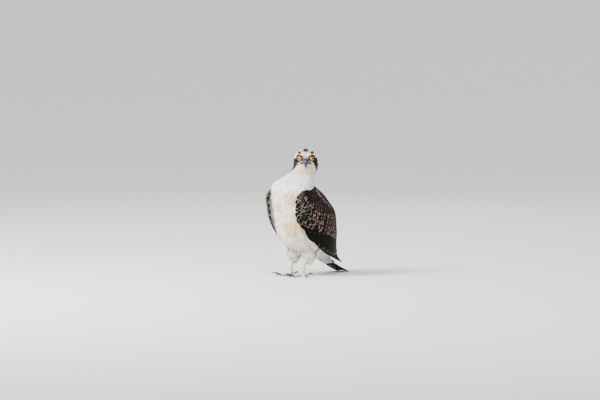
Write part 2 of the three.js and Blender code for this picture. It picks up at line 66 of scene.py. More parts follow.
# Small feathers: their depth over the skin, the bounds of head, thighs, rear and tail, spacings
BODY_COAT = 4.0
HEAD_COAT = 2.4
HEAD_FROM_Z = 345
THIGH_BELOW_Z = 125
THIGH_REACH = 32
REAR_FROM_Y = 20
TAIL_FROM_Y = 116
BODY_SPACING, NECK_SPACING, HEAD_SPACING, FACE_SPACING = 3.3, 2.6, 1.9, 1.35
SAMPLES = 260000  # random places that the small feathers are chosen from
WING_CLEARANCE = 5.5  # what they keep from the wings' surfaces, so that none comes through
EYE_BARE = 9.2  # no small feather starts this near to an eye or to the bill
BILL_BARE = 8.0

LONG_JAG = 0.0  # how ragged the tips of wing and tail feathers are
SMALL_JAG = 0.08  # and those of the small feathers
LONG_PATCH = 0.006  # side of a feather's own square in the OFBake map
SMALL_PATCH = 0.003
IRIS_MAP = 20.0  # width that the map of the iris covers
SKIN_VOXEL = 2.2
LEG_VOXEL = 0.9

SIDES = (1, -1)  # the bird's left and right
SIDE_NAME = {1: "left", -1: "right"}
UP = np.array([0, 0, 1.0])
MIRROR = np.array([-1, 1, 1])


# Small helpers
def mix(a, b, t):
    return a + (b - a) * t


def smooth(a, b, x):
    t = np.clip((np.asarray(x, float) - a) / (b - a), 0, 1)
    return t * t * (3 - 2 * t)


def unit(v):
    return v / np.maximum(np.linalg.norm(v, axis=-1, keepdims=True), 1e-9)


def bump_at(x, centre, width):
    """1 at the centre, falling to 0 over about two widths."""
    return np.exp(-(((x - centre) / width) ** 2))


def spread(*values):
    """Arrays of one shape from values and arrays."""
    return np.broadcast_arrays(*(np.asarray(v, float) for v in values))


def pairs(t, w):
    """Places [n, 2] from a value or an array for each of their two coordinates."""
    return np.stack(spread(t, w), -1)


def grid_of(t, w, shape):
    """Two grids of coordinates that run between the ends of t and of w."""
    return np.meshgrid(np.linspace(*t, shape[0]), np.linspace(*w, shape[1]), indexing="ij")


def jitter(amount, n):
    return rng.uniform(-amount, amount, n)


def through(rows):
    """A smooth curve through rows of numbers; column 0 is the key, in rising order."""
    table = np.array(rows, float)
    keys = table[:, 0]
    last = len(keys) - 1
    before = np.maximum(np.arange(last + 1) - 1, 0)
    after = np.minimum(np.arange(last + 1) + 1, last)
    slopes = (table[after] - table[before]) / (keys[after] - keys[before])[:, None]

    def at(key):
        key = np.clip(np.asarray(key, float), keys[0], keys[-1])
        i = np.clip(np.searchsorted(keys, key, side="right") - 1, 0, last - 1)
        span = (keys[i + 1] - keys[i])[..., None]
        s = (key - keys[i])[..., None] / span
        s2, s3 = s * s, s * s * s
        value = (2 * s3 - 3 * s2 + 1) * table[i] + (s3 - 2 * s2 + s) * span * slopes[i]
        value = value + (3 * s2 - 2 * s3) * table[i + 1] + (s3 - s2) * span * slopes[i + 1]
        return value[..., 1:]

    return at


# Shape of the body, as in the solids: height, middle x and y, half-width, reach forward and
# back, turn in degrees
SECTIONS = [
    (50, 0, 118, 12, 8, 12, 0),
    (60, 0, 108, 24, 30, 30, 0),
    (78, 0, 84, 40, 66, 50, 0),
    (100, 0, 57, 58, 99, 84, 0),
    (130, 0, 36, 72, 105, 98, 0),
    (165, 0, 24, 81, 104, 101, 0),
    (200, 0, 12, 86, 100, 102, 0),
    (235, 0, -4, 86, 91, 92, 0),
    (265, 0, -22, 80, 74, 68, 0),
    (285, -2, -31, 77, 66, 56, 0),
    (302, -4, -31, 71, 59, 52, 0),
    (318, -1, -17, 59, 52, 48, 6),
    (334, 3, 2, 48, 44, 44, 22),
    (350, HEAD_X - 1, HEAD_Y - 5, 43, 37, 43, HEAD_YAW),
    *((z, HEAD_X, HEAD_Y, *sizes, HEAD_YAW) for z, *sizes in (
        (364, 41, 36, 46),
        (378, 40.5, 37.5, 47),
        (392, 38, 37, 46),
        (404, 32, 31, 40),
        (413, 22, 21, 29),
    )),
    (CROWN_Z, HEAD_X, HEAD_Y - 2, 6, 6, 8, HEAD_YAW),
]
section_at = through(SECTIONS)


def turned(points, degrees):
    """Points turned about the vertical axis."""
    a = np.radians(degrees)
    x = points[..., 0] * np.cos(a) - points[..., 1] * np.sin(a)
    y = points[..., 0] * np.sin(a) + points[..., 1] * np.cos(a)
    return np.stack([x, y, points[..., 2] + 0 * x], -1)


def body_point(z, angle, grow=0.0):
    """A point of the body's surface: angle 0 is -Y and 90 is the bird's left."""
    z, angle = spread(z, angle)
    x, y, wide, front, back, turn = np.moveaxis(section_at(z), -1, 0)
    a = np.radians(angle - turn)
    s, c = np.sin(a), np.cos(a)
    power = 2 / SECTION_POWER
    side = np.sign(s) * np.abs(s) ** power * (wide + grow)
    ahead = np.sign(c) * np.abs(c) ** power * (np.where(c > 0, front, back) + grow)
    return turned(np.stack([side, -ahead, 0 * side], -1), turn) + np.stack([x, y, z], -1)


def head_point(side, forward, up):
    """A point given from the middle between the eyes, in the turned head's own directions."""
    side, forward, up = spread(side, forward, up)
    point = turned(np.stack([side, -forward, up], -1), HEAD_YAW)
    return point + np.array([HEAD_X, HEAD_Y, EYE_Z])


def head_space(p):
    """Side, forward and up in the head's own space: the inverse of head_point."""
    q = turned(p - np.array([HEAD_X, HEAD_Y, EYE_Z]), -HEAD_YAW)
    return q[..., 0], -q[..., 1], q[..., 2]


def eye_centre(s):
    return head_point(s * EYE_SIDE, EYE_FORWARD, 0)


def eye_axis(s):
    a = math.radians(HEAD_YAW + s * EYE_TURN)
    return np.array([math.sin(a), -math.cos(a), 0.0])


def eye_distance(p, ahead):
    """Distance to the nearer of two points, each this far ahead of an eye's centre."""
    points = [eye_centre(s) + ahead * eye_axis(s) for s in SIDES]
    return np.min([np.linalg.norm(p - q, axis=-1) for q in points], 0)


# Where the bird's own space lies in the frame, from the left eye, which both have
low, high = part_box("eye_left")
SHIFT = (np.array(low) + np.array(high)) * 500 - eye_centre(1)


def placed(points):
    """Millimetres in the bird's space to metres in the frame."""
    return (np.asarray(points) + SHIFT) / 1000


# The folded left wing: t runs from shoulder to tip, w from the leading edge at the breast
# round the side to the trailing edge by the spine. Rows of t, x, y, z, and of t and bulge.
LEADING = [
    (0, 70, -48, 287),
    (0.125, 65, -79, 266),
    (0.25, 58, -84, 228),
    (0.375, 57, -75, 190),
    (0.5, 58, -52, 148),
    (0.625, 54, -18, 112),
    (0.75, 52, 30, 78),
    (0.875, 40, 104, 54),
    (1, 18, 196, 31),
]
TRAILING = [
    (0, 32, 14, 296),
    (0.2, 22, 64, 256),
    (0.4, 12, 112, 210),
    (0.6, 9, 138, 150),
    (0.8, 8, 160, 90),
    (1, 8, 204, 36),
]
BULGE = [
    *((0, 15), (0.125, 44), (0.25, 58), (0.375, 67), (0.5, 59)),
    *((0.625, 48), (0.75, 31), (0.875, 11), (1, 3)),
]
leading_at, trailing_at, bulge_at = through(LEADING), through(TRAILING), through(BULGE)


def extended(at, t):
    """The curve, running straight on past its end."""
    last_step = 0.04
    end, before = at(1.0), at(1 - last_step)
    return at(t) + (end - before) / last_step * np.maximum(t - 1, 0)[..., None]


def wing_place(t, w):
    t, w = spread(t, w)
    lead, trail, bulge = extended(leading_at, t), extended(trailing_at, t), bulge_at(t)
    a = lead + bulge * np.array([1, 0.45, 0])
    b = trail + bulge * np.array([1.6, 0, 0])
    w = w[..., None]
    v = 1 - w
    return lead * v**3 + 3 * a * v * v * w + 3 * b * v * w * w + trail * w**3


# The tail: t from root to tip, w from -1 at the right edge to 1 at the left
TAIL_ROOT = np.array([0, 96, 74.0])
TAIL_TIP = np.array([0, 236, -1.6])
TAIL_HALF_ROOT = 17
TAIL_HALF_TIP = 27


def tail_place(t, w):
    t, w = spread(t, w)
    fall = 1.25 * t - 0.25 * t * t
    side = mix(TAIL_HALF_ROOT, TAIL_HALF_TIP, t) * w
    arch = -7 * w * w * (1 - 0.8 * t)
    y = mix(TAIL_ROOT[1], TAIL_TIP[1], t)
    return np.stack([side, y, mix(TAIL_ROOT[2], TAIL_TIP[2], fall) + arch], -1)


def normal_of(place, t, w):
    e = 0.004
    dt = place(t + e, w) - place(t - e, w)
    dw = place(t, w + e) - place(t, w - e)
    return unit(np.cross(dt, dw))


# Legs
FOOT = {1: np.array([30, -27, 0.0]), -1: np.array([-30, -15, 0.0])}
THIGH_LOW_Z = 66
TARSUS_R = 6.4
CLAW_LENGTH = 25
TOES = [  # name, degrees from straight ahead towards the outer side, length, radius
    ("inner", -32, 40, 5),
    ("middle", 4, 46, 5.2),
    ("outer", 58, 42, 4.8),
    ("hind", 172, 31, 5.2),
]


def thigh_axis(s):
    return np.array([(42, 34, 142), (38, 22, 112), (33, 8, 88), (31, -1, THIGH_LOW_Z)]) * (s, 1, 1)


def ankle(s):
    return FOOT[s] + np.array([0, 4, 15])


def toe_direction(s, turn):
    a = math.radians(turn)
    return np.array([s * math.sin(a), -math.cos(a), 0.0])


# Mesh making
def linked(name, data):
    """A new object in the scene."""
    made = bpy.data.objects.new(name, data)
    bpy.context.scene.collection.objects.link(made)
    return made


def object_of(name, vertices, faces):
    """A smooth mesh object from points in the bird's space."""
    mesh = bpy.data.meshes.new(name)
    mesh.from_pydata(placed(vertices).tolist(), [], [list(map(int, f)) for f in faces])
    mesh.update()
    mesh.shade_smooth()
    return linked(name, mesh)


def ring_faces(rings, sides, closed=False):
    """Quads from each ring of points to the next, and from the last to the first if closed."""
    faces = []
    for r in range(rings if closed else rings - 1):
        here, there = r * sides, (r + 1) % rings * sides
        for i in range(sides):
            j = (i + 1) % sides
            faces.append((here + i, here + j, there + j, there + i))
    return faces


def loft(rings):
    """Vertices and faces of a closed skin over rings[r, i, 3], with a fan on each end."""
    count, sides = rings.shape[:2]
    ends = np.stack([rings[0].mean(0), rings[-1].mean(0)])
    faces = ring_faces(count, sides)
    first, top = count * sides, (count - 1) * sides
    for i in range(sides):
        j = (i + 1) % sides
        faces.append((first, j, i))
        faces.append((first + 1, top + i, top + j))
    return np.vstack([rings.reshape(-1, 3), ends]), faces


def limb(stations, sides, steps):
    """A tapering round limb along stations of (point, half-width, half-height)."""
    at = through([(i, *point, wide, high) for i, (point, wide, high) in enumerate(stations)])
    keys = np.linspace(0, len(stations) - 1, steps + 1)
    e = 1e-3
    centres, size = at(keys)[:, :3], np.maximum(at(keys)[:, 3:], 0.2)
    ahead = unit((at(keys + e) - at(keys - e))[:, :3])
    side = np.cross(UP, ahead)
    if np.linalg.norm(side[0]) < 0.05:
        side[0] = (1, 0, 0)
    for k in range(1, len(side)):
        # Carried along, so that it doesn't turn over where the limb bends past upright
        side[k] = side[k - 1] - ahead[k] * (side[k - 1] @ ahead[k])
    side = unit(side)
    up = unit(np.cross(ahead, side))
    a = np.linspace(0, 2 * np.pi, sides, endpoint=False)
    across = np.cos(a)[None, :, None] * (side * size[:, :1])[:, None]
    upward = np.sin(a)[None, :, None] * (up * size[:, 1:])[:, None]
    return loft(centres[:, None] + across + upward)


def sheet_solid(outer, inner):
    """A closed sheet between two grids of points [i, j, 3]."""
    rows, cols = outer.shape[:2]
    front, back = np.arange(2 * rows * cols).reshape(2, rows, cols)

    def strip(a, b):
        """Quads between two rows of point numbers."""
        return np.stack([a[:-1], b[:-1], b[1:], a[1:]], 1).tolist()

    faces = strip(front[:, 0], back[:, 0]) + strip(back[:, -1], front[:, -1])
    faces += strip(back[0], front[0]) + strip(front[-1], back[-1])
    for i in range(rows - 1):
        faces += strip(front[i], front[i + 1])
    for j in range(cols - 1):
        faces += strip(back[:, j], back[:, j + 1])
    return np.vstack([outer.reshape(-1, 3), inner.reshape(-1, 3)]), faces


def mirrored(solid):
    vertices, faces = solid
    return vertices * MIRROR, [tuple(reversed(f)) for f in faces]


def merged(solids):
    vertices, faces, base = [], [], 0
    for v, f in solids:
        vertices.append(v)
        faces.extend(tuple(i + base for i in face) for face in f)
        base += len(v)
    return np.vstack(vertices), faces


def fused(name, solids, voxel, rounds):
    """One closed skin over several solids, made of voxels of this size and smoothed."""
    obj = object_of(name, *merged(solids))
    remesh = obj.modifiers.new("remesh", "REMESH")
    remesh.mode = "VOXEL"
    remesh.voxel_size = voxel / 1000
    remesh.adaptivity = 0.0
    smoothing = obj.modifiers.new("smooth", "SMOOTH")
    smoothing.factor = 0.5
    smoothing.iterations = rounds
    graph = bpy.context.evaluated_depsgraph_get()
    made = bpy.data.meshes.new_from_object(obj.evaluated_get(graph))
    obj.modifiers.clear()
    rough, obj.data = obj.data, made
    bpy.data.meshes.remove(rough)
    made.shade_smooth()
    return obj


def mesh_points(obj):
    """Vertices of an object in the bird's space."""
    points = np.empty(len(obj.data.vertices) * 3)
    obj.data.vertices.foreach_get("co", points)
    return points.reshape(-1, 3) * 1000 - SHIFT


def set_colours(obj, name, colours):
    """A colour for each vertex."""
    layer = obj.data.color_attributes.new(name, "FLOAT_COLOR", "POINT")
    flat = np.ones((len(colours), 4), np.float32)
    flat[:, : colours.shape[1]] = colours
    layer.data.foreach_set("color", flat.ravel())


def set_uv(obj, name, uv):
    """A UV map from a place for each vertex."""
    corner = np.empty(len(obj.data.loops), np.int32)
    obj.data.loops.foreach_get("vertex_index", corner)
    layer = obj.data.uv_layers.new(name=name)
    layer.data.foreach_set("uv", uv[corner].astype(np.float32).ravel())


def set_tone(obj, tone):
    """The share of light colour in the horn at each vertex, or one for all."""
    layer = obj.data.attributes.new("Tone", "FLOAT", "POINT")
    layer.data.foreach_set("value", np.full(len(obj.data.vertices), tone, np.float32))


def finish_piece(obj, material, slot, *nodes):
    obj.data.materials.append(material)
    if nodes:
        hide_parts(*nodes)
    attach(obj, "root")


# Colours, in linear light
WHITE = (0.88, 0.87, 0.84)
CREAM = (0.74, 0.54, 0.30)
BUFF = (0.52, 0.34, 0.20)
DARK = (0.006, 0.0045, 0.0045)
BLACK = (0.0025, 0.002, 0.002)
MANTLE = (0.018, 0.012, 0.014)
GREY = (0.42, 0.40, 0.39)
GREY_WHITE = (0.74, 0.73, 0.71)
WARM_GREY = (0.60, 0.52, 0.42)
RIM = (0.84, 0.80, 0.77)
FRINGE = (0.64, 0.42, 0.33)
PALE = (0.72, 0.60, 0.52)


def blended(base, other, amount):
    amount = np.clip(amount, 0, 1)[..., None]
    return base * (1 - amount) + np.asarray(other) * amount


def noise(p, scale, seed=0):
    """Soft noise from -1 to 1 over points, the same on every run."""
    q = np.asarray(p) / scale
    total = 0
    for k in range(5):
        a = np.array([1.3 + 0.7 * k, -1.1 + 0.9 * k, 0.8 - 0.5 * k]) * (1 + 0.35 * k)
        b = np.array([0.7 * k - 1.2, 1.5 - 0.3 * k, 1.1 + 0.4 * k])
        total = total + np.sin(q @ a + 1.7 * k + seed) * np.cos(q @ b - 0.9 * k + 2.3 * seed)
    return total / 2.4


def round_body(p):
    """Degrees round the body from its front, to either side, as the neck turns."""
    x, y, _, _, _, turn = np.moveaxis(section_at(p[..., 2]), -1, 0)
    offset = turned(np.stack([p[..., 0] - x, p[..., 1] - y, 0 * x], -1), -turn)
    return np.abs(np.degrees(np.arctan2(offset[..., 0], -offset[..., 1])))


def warm_patches(p, colour):
    """Buff throat wash, soft patches on the breast, and a warm grey lower belly: dull cream and painted
    shade.
    """
    side, forward, _ = head_space(p)
    x, y, z = np.moveaxis(p, -1, 0)
    throat = bump_at(z, 348, 15) * smooth(5, 22, forward) * (1 - smooth(16, 28, np.abs(side)))
    wash = np.clip(1.1 * throat * (0.75 + 0.4 * noise(p, 7, 3)), 0, 0.8)
    colour = blended(colour, CREAM, wash)
    for spot_x, spot_z, size in ((30, 266, 19), (24, 172, 27), (44, 214, 10), (-14, 240, 14)):
        spot = bump_at(x, spot_x, size) * bump_at(z, spot_z, size) * (y < 0)
        colour = blended(colour, CREAM, 2.0 * spot * (0.8 + 0.4 * noise(p, 9, 5)))
    mottle = smooth(0.15, 0.9, noise(p, 7.5, 1)) * bump_at(z, 262, 26) * (y < 10)
    colour = blended(colour, BUFF, 0.2 * mottle)
    # Painted shade mixed with the belly's own dull cream: warm grey, stronger towards the bottom
    lower = (1 - smooth(95, 150, z)) * (0.4 + 0.2 * noise(p, 11, 2))
    return blended(colour, WARM_GREY, lower)


def upper_dark(p):
    """How far a point belongs to the dark nape, back and upper side of the tail's root."""
    up = head_space(p)[2]
    y, z = p[..., 1], p[..., 2]
    dark = smooth(102, 118, round_body(p) + 3 * noise(p, 6, 6)) * smooth(50, 70, z)
    dark = dark * (1 - smooth(-10, 12, up + 6 * noise(p, 7, 8)))
    dark = dark * mix(1, smooth(66, 92, y), 1 - smooth(150, 175, z))
    tail_z = np.interp(y, [60, 96, 170], [104, 76, 40])
    on_tail = smooth(78, 100, y) * (1 - smooth(96, 112, z))
    return mix(dark, smooth(-2, 4, z - tail_z + noise(p, 6, 9)), on_tail)


def eye_band(p):
    """The dark band from the eye back over the cheek and down the side of the neck."""
    side, forward, up = head_space(p)
    height, reach = (-64, -44, -24, -9, 0, 2), (-14, 0, 10, 16, 23, 40)
    middle = np.interp(up, height, reach)
    half = np.interp(up, [-64, -40, -14, 0, 5], [14, 14, 16, 18, 13])
    ragged = 2.0 * noise(p, 3.5, 4)
    band = 1 - smooth(0.85, 1.1, (np.abs(forward - middle) + ragged) / half)
    band = band * smooth(15, 21, np.abs(side)) * smooth(-72, -52, up)
    return band * (1 - smooth(5, 9, up + 0.5 * ragged))


def face_marks(p):
    """Dark rings and lores, whisker marks under the eyes, spots over them, and a crown patch."""
    side, forward, up = head_space(p)
    wide = np.abs(side)
    ragged = 1.2 * noise(p, 3.5, 4)
    rings = 1 - smooth(10.2, 12.2, eye_distance(p, 6) - 2.4 * smooth(0, 8, up) + ragged)
    under = bump_at(wide, 12.5, 6.5) * bump_at(up, -14.5, 3.4) * (forward > 20)
    over = bump_at(wide, 20, 5.2) * bump_at(up, 18.5, 4.8) * (forward > 2)
    lores = bump_at(wide, 9, 6) * bump_at(up, -3, 8) * (forward > 26)
    patch = bump_at(side, 0, 8) * smooth(16, 23, up)
    patch = patch * (1 - smooth(26, 33, forward)) * smooth(-6, 8, forward)
    return np.max([1.4 * under, 1.7 * over, 1.2 * lores, rings, 1.6 * patch], 0)


def markings(p):
    """Colour of skin and small feathers at points of the bird's space."""
    side, forward, up = head_space(p)
    y, z = p[..., 1], p[..., 2]
    dark = upper_dark(p)
    # Streaked crown and nape, a cream brow between the eyes, and a grey-white vent
    streaks = smooth(0.0, 0.6, np.sin(side + 0.7 * noise(p, 6, 3)) * 0.6 + noise(p, 5, 2))
    crown = bump_at(side, 0, 12) * smooth(13, 21, up) * (1 - smooth(20, 31, forward))
    nape = smooth(6, 24, -forward) * smooth(-36, -6, up) * smooth(334, 352, z)
    brow = bump_at(side, 0, 4.0) * bump_at(up, 12, 9) * (forward > 18)
    vent = (1 - smooth(70, 95, z)) * smooth(60, 90, y) * (1 - dark)
    layers = (
        (DARK, dark),
        (BLACK, eye_band(p)),
        (BLACK, face_marks(p)),
        (DARK, 1.25 * crown * (0.45 + 0.55 * streaks)),
        (DARK, 0.75 * nape * streaks),
        (CREAM, 0.6 * brow),
        (GREY_WHITE, vent),
    )
    colour = warm_patches(p, np.broadcast_to(np.array(WHITE), p.shape))
    for paint, amount in layers:
        colour = blended(colour, paint, amount)
    return colour


# Materials
class Graph:
    """A new material, with short names for the nodes that it is made of."""

    def __init__(self, name):
        self.material = bpy.data.materials.new(name)
        self.material.use_nodes = True
        self.tree = self.material.node_tree
        self.tree.nodes.clear()
        out = self.tree.nodes.new("ShaderNodeOutputMaterial")
        self.shader = self.tree.nodes.new("ShaderNodeBsdfPrincipled")
        self.tree.links.new(self.shader.outputs[0], out.inputs[0])

    def feed(self, made, inputs):
        """Links a node's inputs to sockets, or sets their own values."""
        for key, value in inputs.items():
            if isinstance(value, bpy.types.NodeSocket):
                self.tree.links.new(value, made.inputs[key])
            else:
                made.inputs[key].default_value = value

    def node(self, kind, inputs, **settings):
        made = self.tree.nodes.new("ShaderNode" + kind)
        for key, value in settings.items():
            setattr(made, key, value)
        self.feed(made, inputs)
        return made

    def math(self, operation, a, b=0.0, clamp=False):
        return self.node("Math", {0: a, 1: b}, operation=operation, use_clamp=clamp).outputs[0]

    def plus(self, a, b):
        return self.math("ADD", a, b)

    def times(self, a, b):
        return self.math("MULTIPLY", a, b)

    def ramp(self, value, low, high, to_low=0.0, to_high=1.0):
        inputs = {0: value, 1: low, 2: high, 3: to_low, 4: to_high}
        return self.node("MapRange", inputs, interpolation_type="SMOOTHSTEP").outputs[0]

    def mix(self, factor, a, b, blend="MIX"):
        inputs = {0: factor, 6: a, 7: b}
        return self.node("Mix", inputs, data_type="RGBA", blend_type=blend).outputs[2]

    def shaded(self, colour, value):
        grey = self.node("CombineColor", {0: value, 1: value, 2: value}).outputs[0]
        return self.mix(1.0, colour, grey, "MULTIPLY")

    def noise(self, scale, detail, **inputs):
        return self.node("TexNoise", {"Scale": scale, "Detail": detail, **inputs}).outputs[0]

    def painted(self, layer):
        """Colour and alpha of a mesh's colour layer."""
        return self.node("VertexColor", {}, layer_name=layer).outputs

    def mapped(self, uv_map):
        return self.node("SeparateXYZ", {0: self.node("UVMap", {}, uv_map=uv_map).outputs[0]}).outputs

    def relief(self, height, strength, distance):
        inputs = {"Height": height, "Strength": strength, "Distance": distance}
        return self.node("Bump", inputs).outputs[0]

    def finished(self, inputs):
        self.feed(self.shader, inputs)
        return self.material


def barred(g, colour, along):
    """Pale grey bars across a feather, and a whitish tip."""
    bent = g.plus(along, g.times(g.noise(90.0, 3.0), 0.03))
    wave = g.math("SINE", g.times(bent, 44.0))
    bars = g.times(g.ramp(wave, 0.45, 0.8), g.ramp(along, 0.3, 0.4))
    colour = g.mix(g.times(bars, 0.6), colour, (0.30, 0.27, 0.25, 1))
    return g.mix(g.ramp(bent, 0.965, 0.985), colour, (0.62, 0.58, 0.53, 1))


def feather_material(name, roughness, tip_from, side_from=1.0, barb_depth=0.0003, sheen=0.0,
                     specular=0.04, shaft_tint=0.1, bars=False):
    """Vane with barbs, shaft and fringe: U runs across from 0 to 1, and V from root to tip.
    The fringe starts at side_from of the way out to each side, and at tip_from of the length."""
    g = Graph(name)
    base, fringe = g.painted("Plumage"), g.painted("Fringe")
    u, along, _ = g.mapped("Vane")
    across = g.math("ABSOLUTE", g.plus(g.times(u, 2.0), -1.0))
    wobble = g.times(g.plus(g.noise(260.0, 2.0), -0.5), 0.16)
    sides = g.ramp(g.plus(across, wobble), side_from, side_from + 0.14)
    sides = g.times(sides, g.ramp(along, 0.55, 0.75))
    round_end = g.times(g.math("POWER", across, 2.0), 1.3 * (1 - tip_from))
    nearer = g.plus(g.plus(along, g.times(wobble, 0.25)), round_end)
    ends = g.ramp(nearer, tip_from, mix(tip_from, 1.0, 0.35))
    edge = g.times(g.math("MAXIMUM", sides, ends), fringe[1])
    colour = g.mix(edge, base[0], fringe[0])
    # Barbs slant out from the shaft; painted shade makes the root, under the feathers over it, darker
    # than the tip
    slant = g.plus(along, g.times(across, -0.45))
    barbs = g.times(g.math("SINE", g.times(slant, 150.0)), g.noise(900.0, 3.0))
    colour = g.shaded(colour, g.ramp(barbs, -0.7, 0.7, 0.82, 1.1))
    colour = g.shaded(colour, g.ramp(along, 0.15, 0.85, 0.5, 1.0))
    shaft = g.ramp(across, 0.0, 0.07, shaft_tint, 0.0)
    colour = g.mix(shaft, colour, g.mix(0.5, colour, (0.2, 0.16, 0.13, 1)))
    if bars:
        colour = barred(g, colour, along)
    return g.finished({
        "Base Color": colour,
        "Normal": g.relief(g.plus(barbs, g.times(shaft, 2.0)), 0.35, barb_depth),
        "Roughness": roughness,
        "Specular IOR Level": specular,
        "Sheen Weight": sheen,
        "Sheen Roughness": 0.5,
    })


def skin_material():
    g = Graph("skin_down")
    fine = g.noise(700.0, 4.0)
    return g.finished({
        "Base Color": g.shaded(g.painted("Plumage")[0], g.ramp(fine, 0.3, 0.7, 0.7, 1.0)),
        "Normal": g.relief(fine, 0.6, 0.0006),
        "Roughness": 0.9,
        "Specular IOR Level": 0.15,
    })


def eye_material():
    """Black pupil, amber iris with fine spokes and a dark rim, under a clear wet coat."""
    deep, bright = (0.42, 0.16, 0.008, 1), (0.74, 0.37, 0.022, 1)
    rim, pupil = (0.02, 0.008, 0.004, 1), (0.002, 0.002, 0.002, 1)
    pupil_r, iris_r = 3.5, 6.4
    g = Graph("eye_amber")
    x, y = (g.plus(socket, -0.5) for socket in list(g.mapped("Iris"))[:2])
    radius = g.math("SQRT", g.plus(g.times(x, x), g.times(y, y)))
    radius = g.times(radius, IRIS_MAP)  # millimetres from the eye's axis
    angle = g.math("ARCTAN2", y, x)
    streak = g.node("CombineXYZ", {0: g.times(angle, 9.0), 1: g.times(radius, 0.35)}).outputs[0]
    spokes = g.noise(2.0, 3.0, Vector=streak)
    colour = g.mix(g.ramp(spokes, 0.35, 0.65), deep, bright)
    colour = g.mix(g.ramp(radius, iris_r, iris_r + 1.2), colour, rim)
    return g.finished({
        "Base Color": g.mix(g.ramp(radius, pupil_r, pupil_r + 0.4), pupil, colour),
        "Roughness": 0.08,
        "Specular IOR Level": 0.2,
        "Coat Weight": 0.6,
        "Coat Roughness": 0.02,
    })


def horn_material(name, dark, light, roughness):
    """Cloudy horn, dark where the Tone attribute is 0 and light where it is 1."""
    g = Graph(name)
    cloud = g.noise(160.0, 5.0)
    tone = g.node("Attribute", {}, attribute_name="Tone").outputs[2]
    tone = g.math("SUBTRACT", g.plus(tone, g.times(cloud, 0.24)), 0.12, clamp=True)
    return g.finished({
        "Base Color": g.mix(tone, (*dark, 1), (*light, 1)),
        "Normal": g.relief(g.noise(1500.0, 2.0), 0.12, 0.0003),
        "Roughness": g.ramp(cloud, 0.3, 0.7, roughness, roughness + 0.15),
    })


def scaly_material():
    """Leg and toe skin: close round scales, with darker seams between them."""
    seam, shadow, pale = (0.36, 0.37, 0.37, 1), (0.66, 0.68, 0.66, 1), (0.82, 0.81, 0.76, 1)
    g = Graph("leg_scales")
    place = g.node("TexCoord", {}).outputs[3]
    cells = g.node("TexVoronoi", {"Vector": place, "Scale": 430.0}, feature="DISTANCE_TO_EDGE")
    cells = g.ramp(cells.outputs[0], 0.0, 0.22)
    colour = g.mix(g.ramp(g.noise(60.0, 3.0, Vector=place), 0.35, 0.65), shadow, pale)
    return g.finished({
        "Base Color": g.mix(cells, seam, colour),
        "Normal": g.relief(cells, 0.8, 0.0007),
        "Roughness": 0.55,
    })


def floor_material():
    g = Graph("floor_pale")
    pale = np.array([0.74, 0.74, 0.73])
    colour = g.mix(g.noise(40.0, 4.0), (*(0.96 * pale), 1), (*pale, 1))
    return g.finished({"Base Color": colour, "Roughness": 0.8})


FEATHER = feather_material("feather_soft", 0.85, 0.9, side_from=0.75, barb_depth=0.0005, sheen=0.1,
                           specular=0.25, shaft_tint=0.3)
COVERT = feather_material("feather_firm", 0.6, 0.91, side_from=0.76, shaft_tint=0.2)
EDGE = feather_material("feather_tipped", 0.6, 0.87)
FLIGHT = feather_material("feather_long", 0.55, 0.972)
BARRED = feather_material("feather_barred", 0.55, 0.972, bars=True)
EYE = eye_material()
LID = horn_material("lid_skin", (0.004, 0.004, 0.005), (0.03, 0.03, 0.035), 0.7)
HORN = horn_material("bill_horn", (0.020, 0.023, 0.032), (0.12, 0.15, 0.20), 0.3)
CLAW = horn_material("claw_horn", (0.006, 0.006, 0.007), (0.06, 0.06, 0.065), 0.25)
SCALES = scaly_material()


# Feathers: many vanes in one mesh
class Coat:
    """Collects vanes, each a grid of points, and makes one mesh of them."""

    def __init__(self, name):
        self.name = name
        self.batches = []
        self.count = 0

    def add(self, grids, plumage, fringe, places, patch):
        """grids[n, i, j, 3], plumage[n, 3], fringe[n, 4], and places[n, 2] in the OFBake map."""
        n, rows, cols = grids.shape[:3]
        a = (np.arange(rows - 1)[:, None] * cols + np.arange(cols - 1)).ravel()
        quads = np.stack([a, a + 1, a + cols + 1, a + cols], 1)
        starts = self.count + np.arange(n) * rows * cols
        faces = (quads[None] + starts[:, None, None]).reshape(-1, 4)
        u, v = np.meshgrid(np.linspace(0, 1, cols), np.linspace(0, 1, rows))
        vane = np.tile(np.stack([u, v], -1).reshape(-1, 2), (n, 1))
        # One colour and one place in the map for all points of a vane
        per_point = (np.repeat(values, rows * cols, 0) for values in (places, plumage, fringe))
        place, plumage, fringe = per_point
        bake = place + (vane - 0.5) * patch
        self.batches.append((grids.reshape(-1, 3), faces, bake, vane, plumage, fringe))
        self.count += n * rows * cols

    def build(self, material, slot, *nodes):
        joined = (np.vstack(parts) for parts in zip(*self.batches))
        vertices, faces, bake, vane, plumage, fringe = joined
        obj = object_of(self.name, vertices, faces)
        set_uv(obj, "OFBake", bake)
        set_uv(obj, "Vane", vane)
        set_colours(obj, "Plumage", plumage)
        set_colours(obj, "Fringe", fringe)
        finish_piece(obj, material, slot, *nodes)


def outline_of(v, pointed):
    """Half-width of a vane along its length, as a share of its widest."""
    rounded = np.sqrt(np.clip(1 - np.clip((v - 0.55) / 0.46, 0, 1) ** 2.4, 0, 1))
    taper = np.clip(1.02 - np.clip((v - 0.3) / 0.7, 0, 1) ** 1.2, 0.02, 1)
    return mix(0.5, 1.0, smooth(0, 0.4, v)) * mix(rounded, taper, pointed)


def vane_axes(rows, cols):
    """V from root to tip and U from side to side, to be spread over [n, rows, cols]."""
    return np.linspace(0, 1, rows)[None, :, None], np.linspace(-1, 1, cols)[None, None, :]


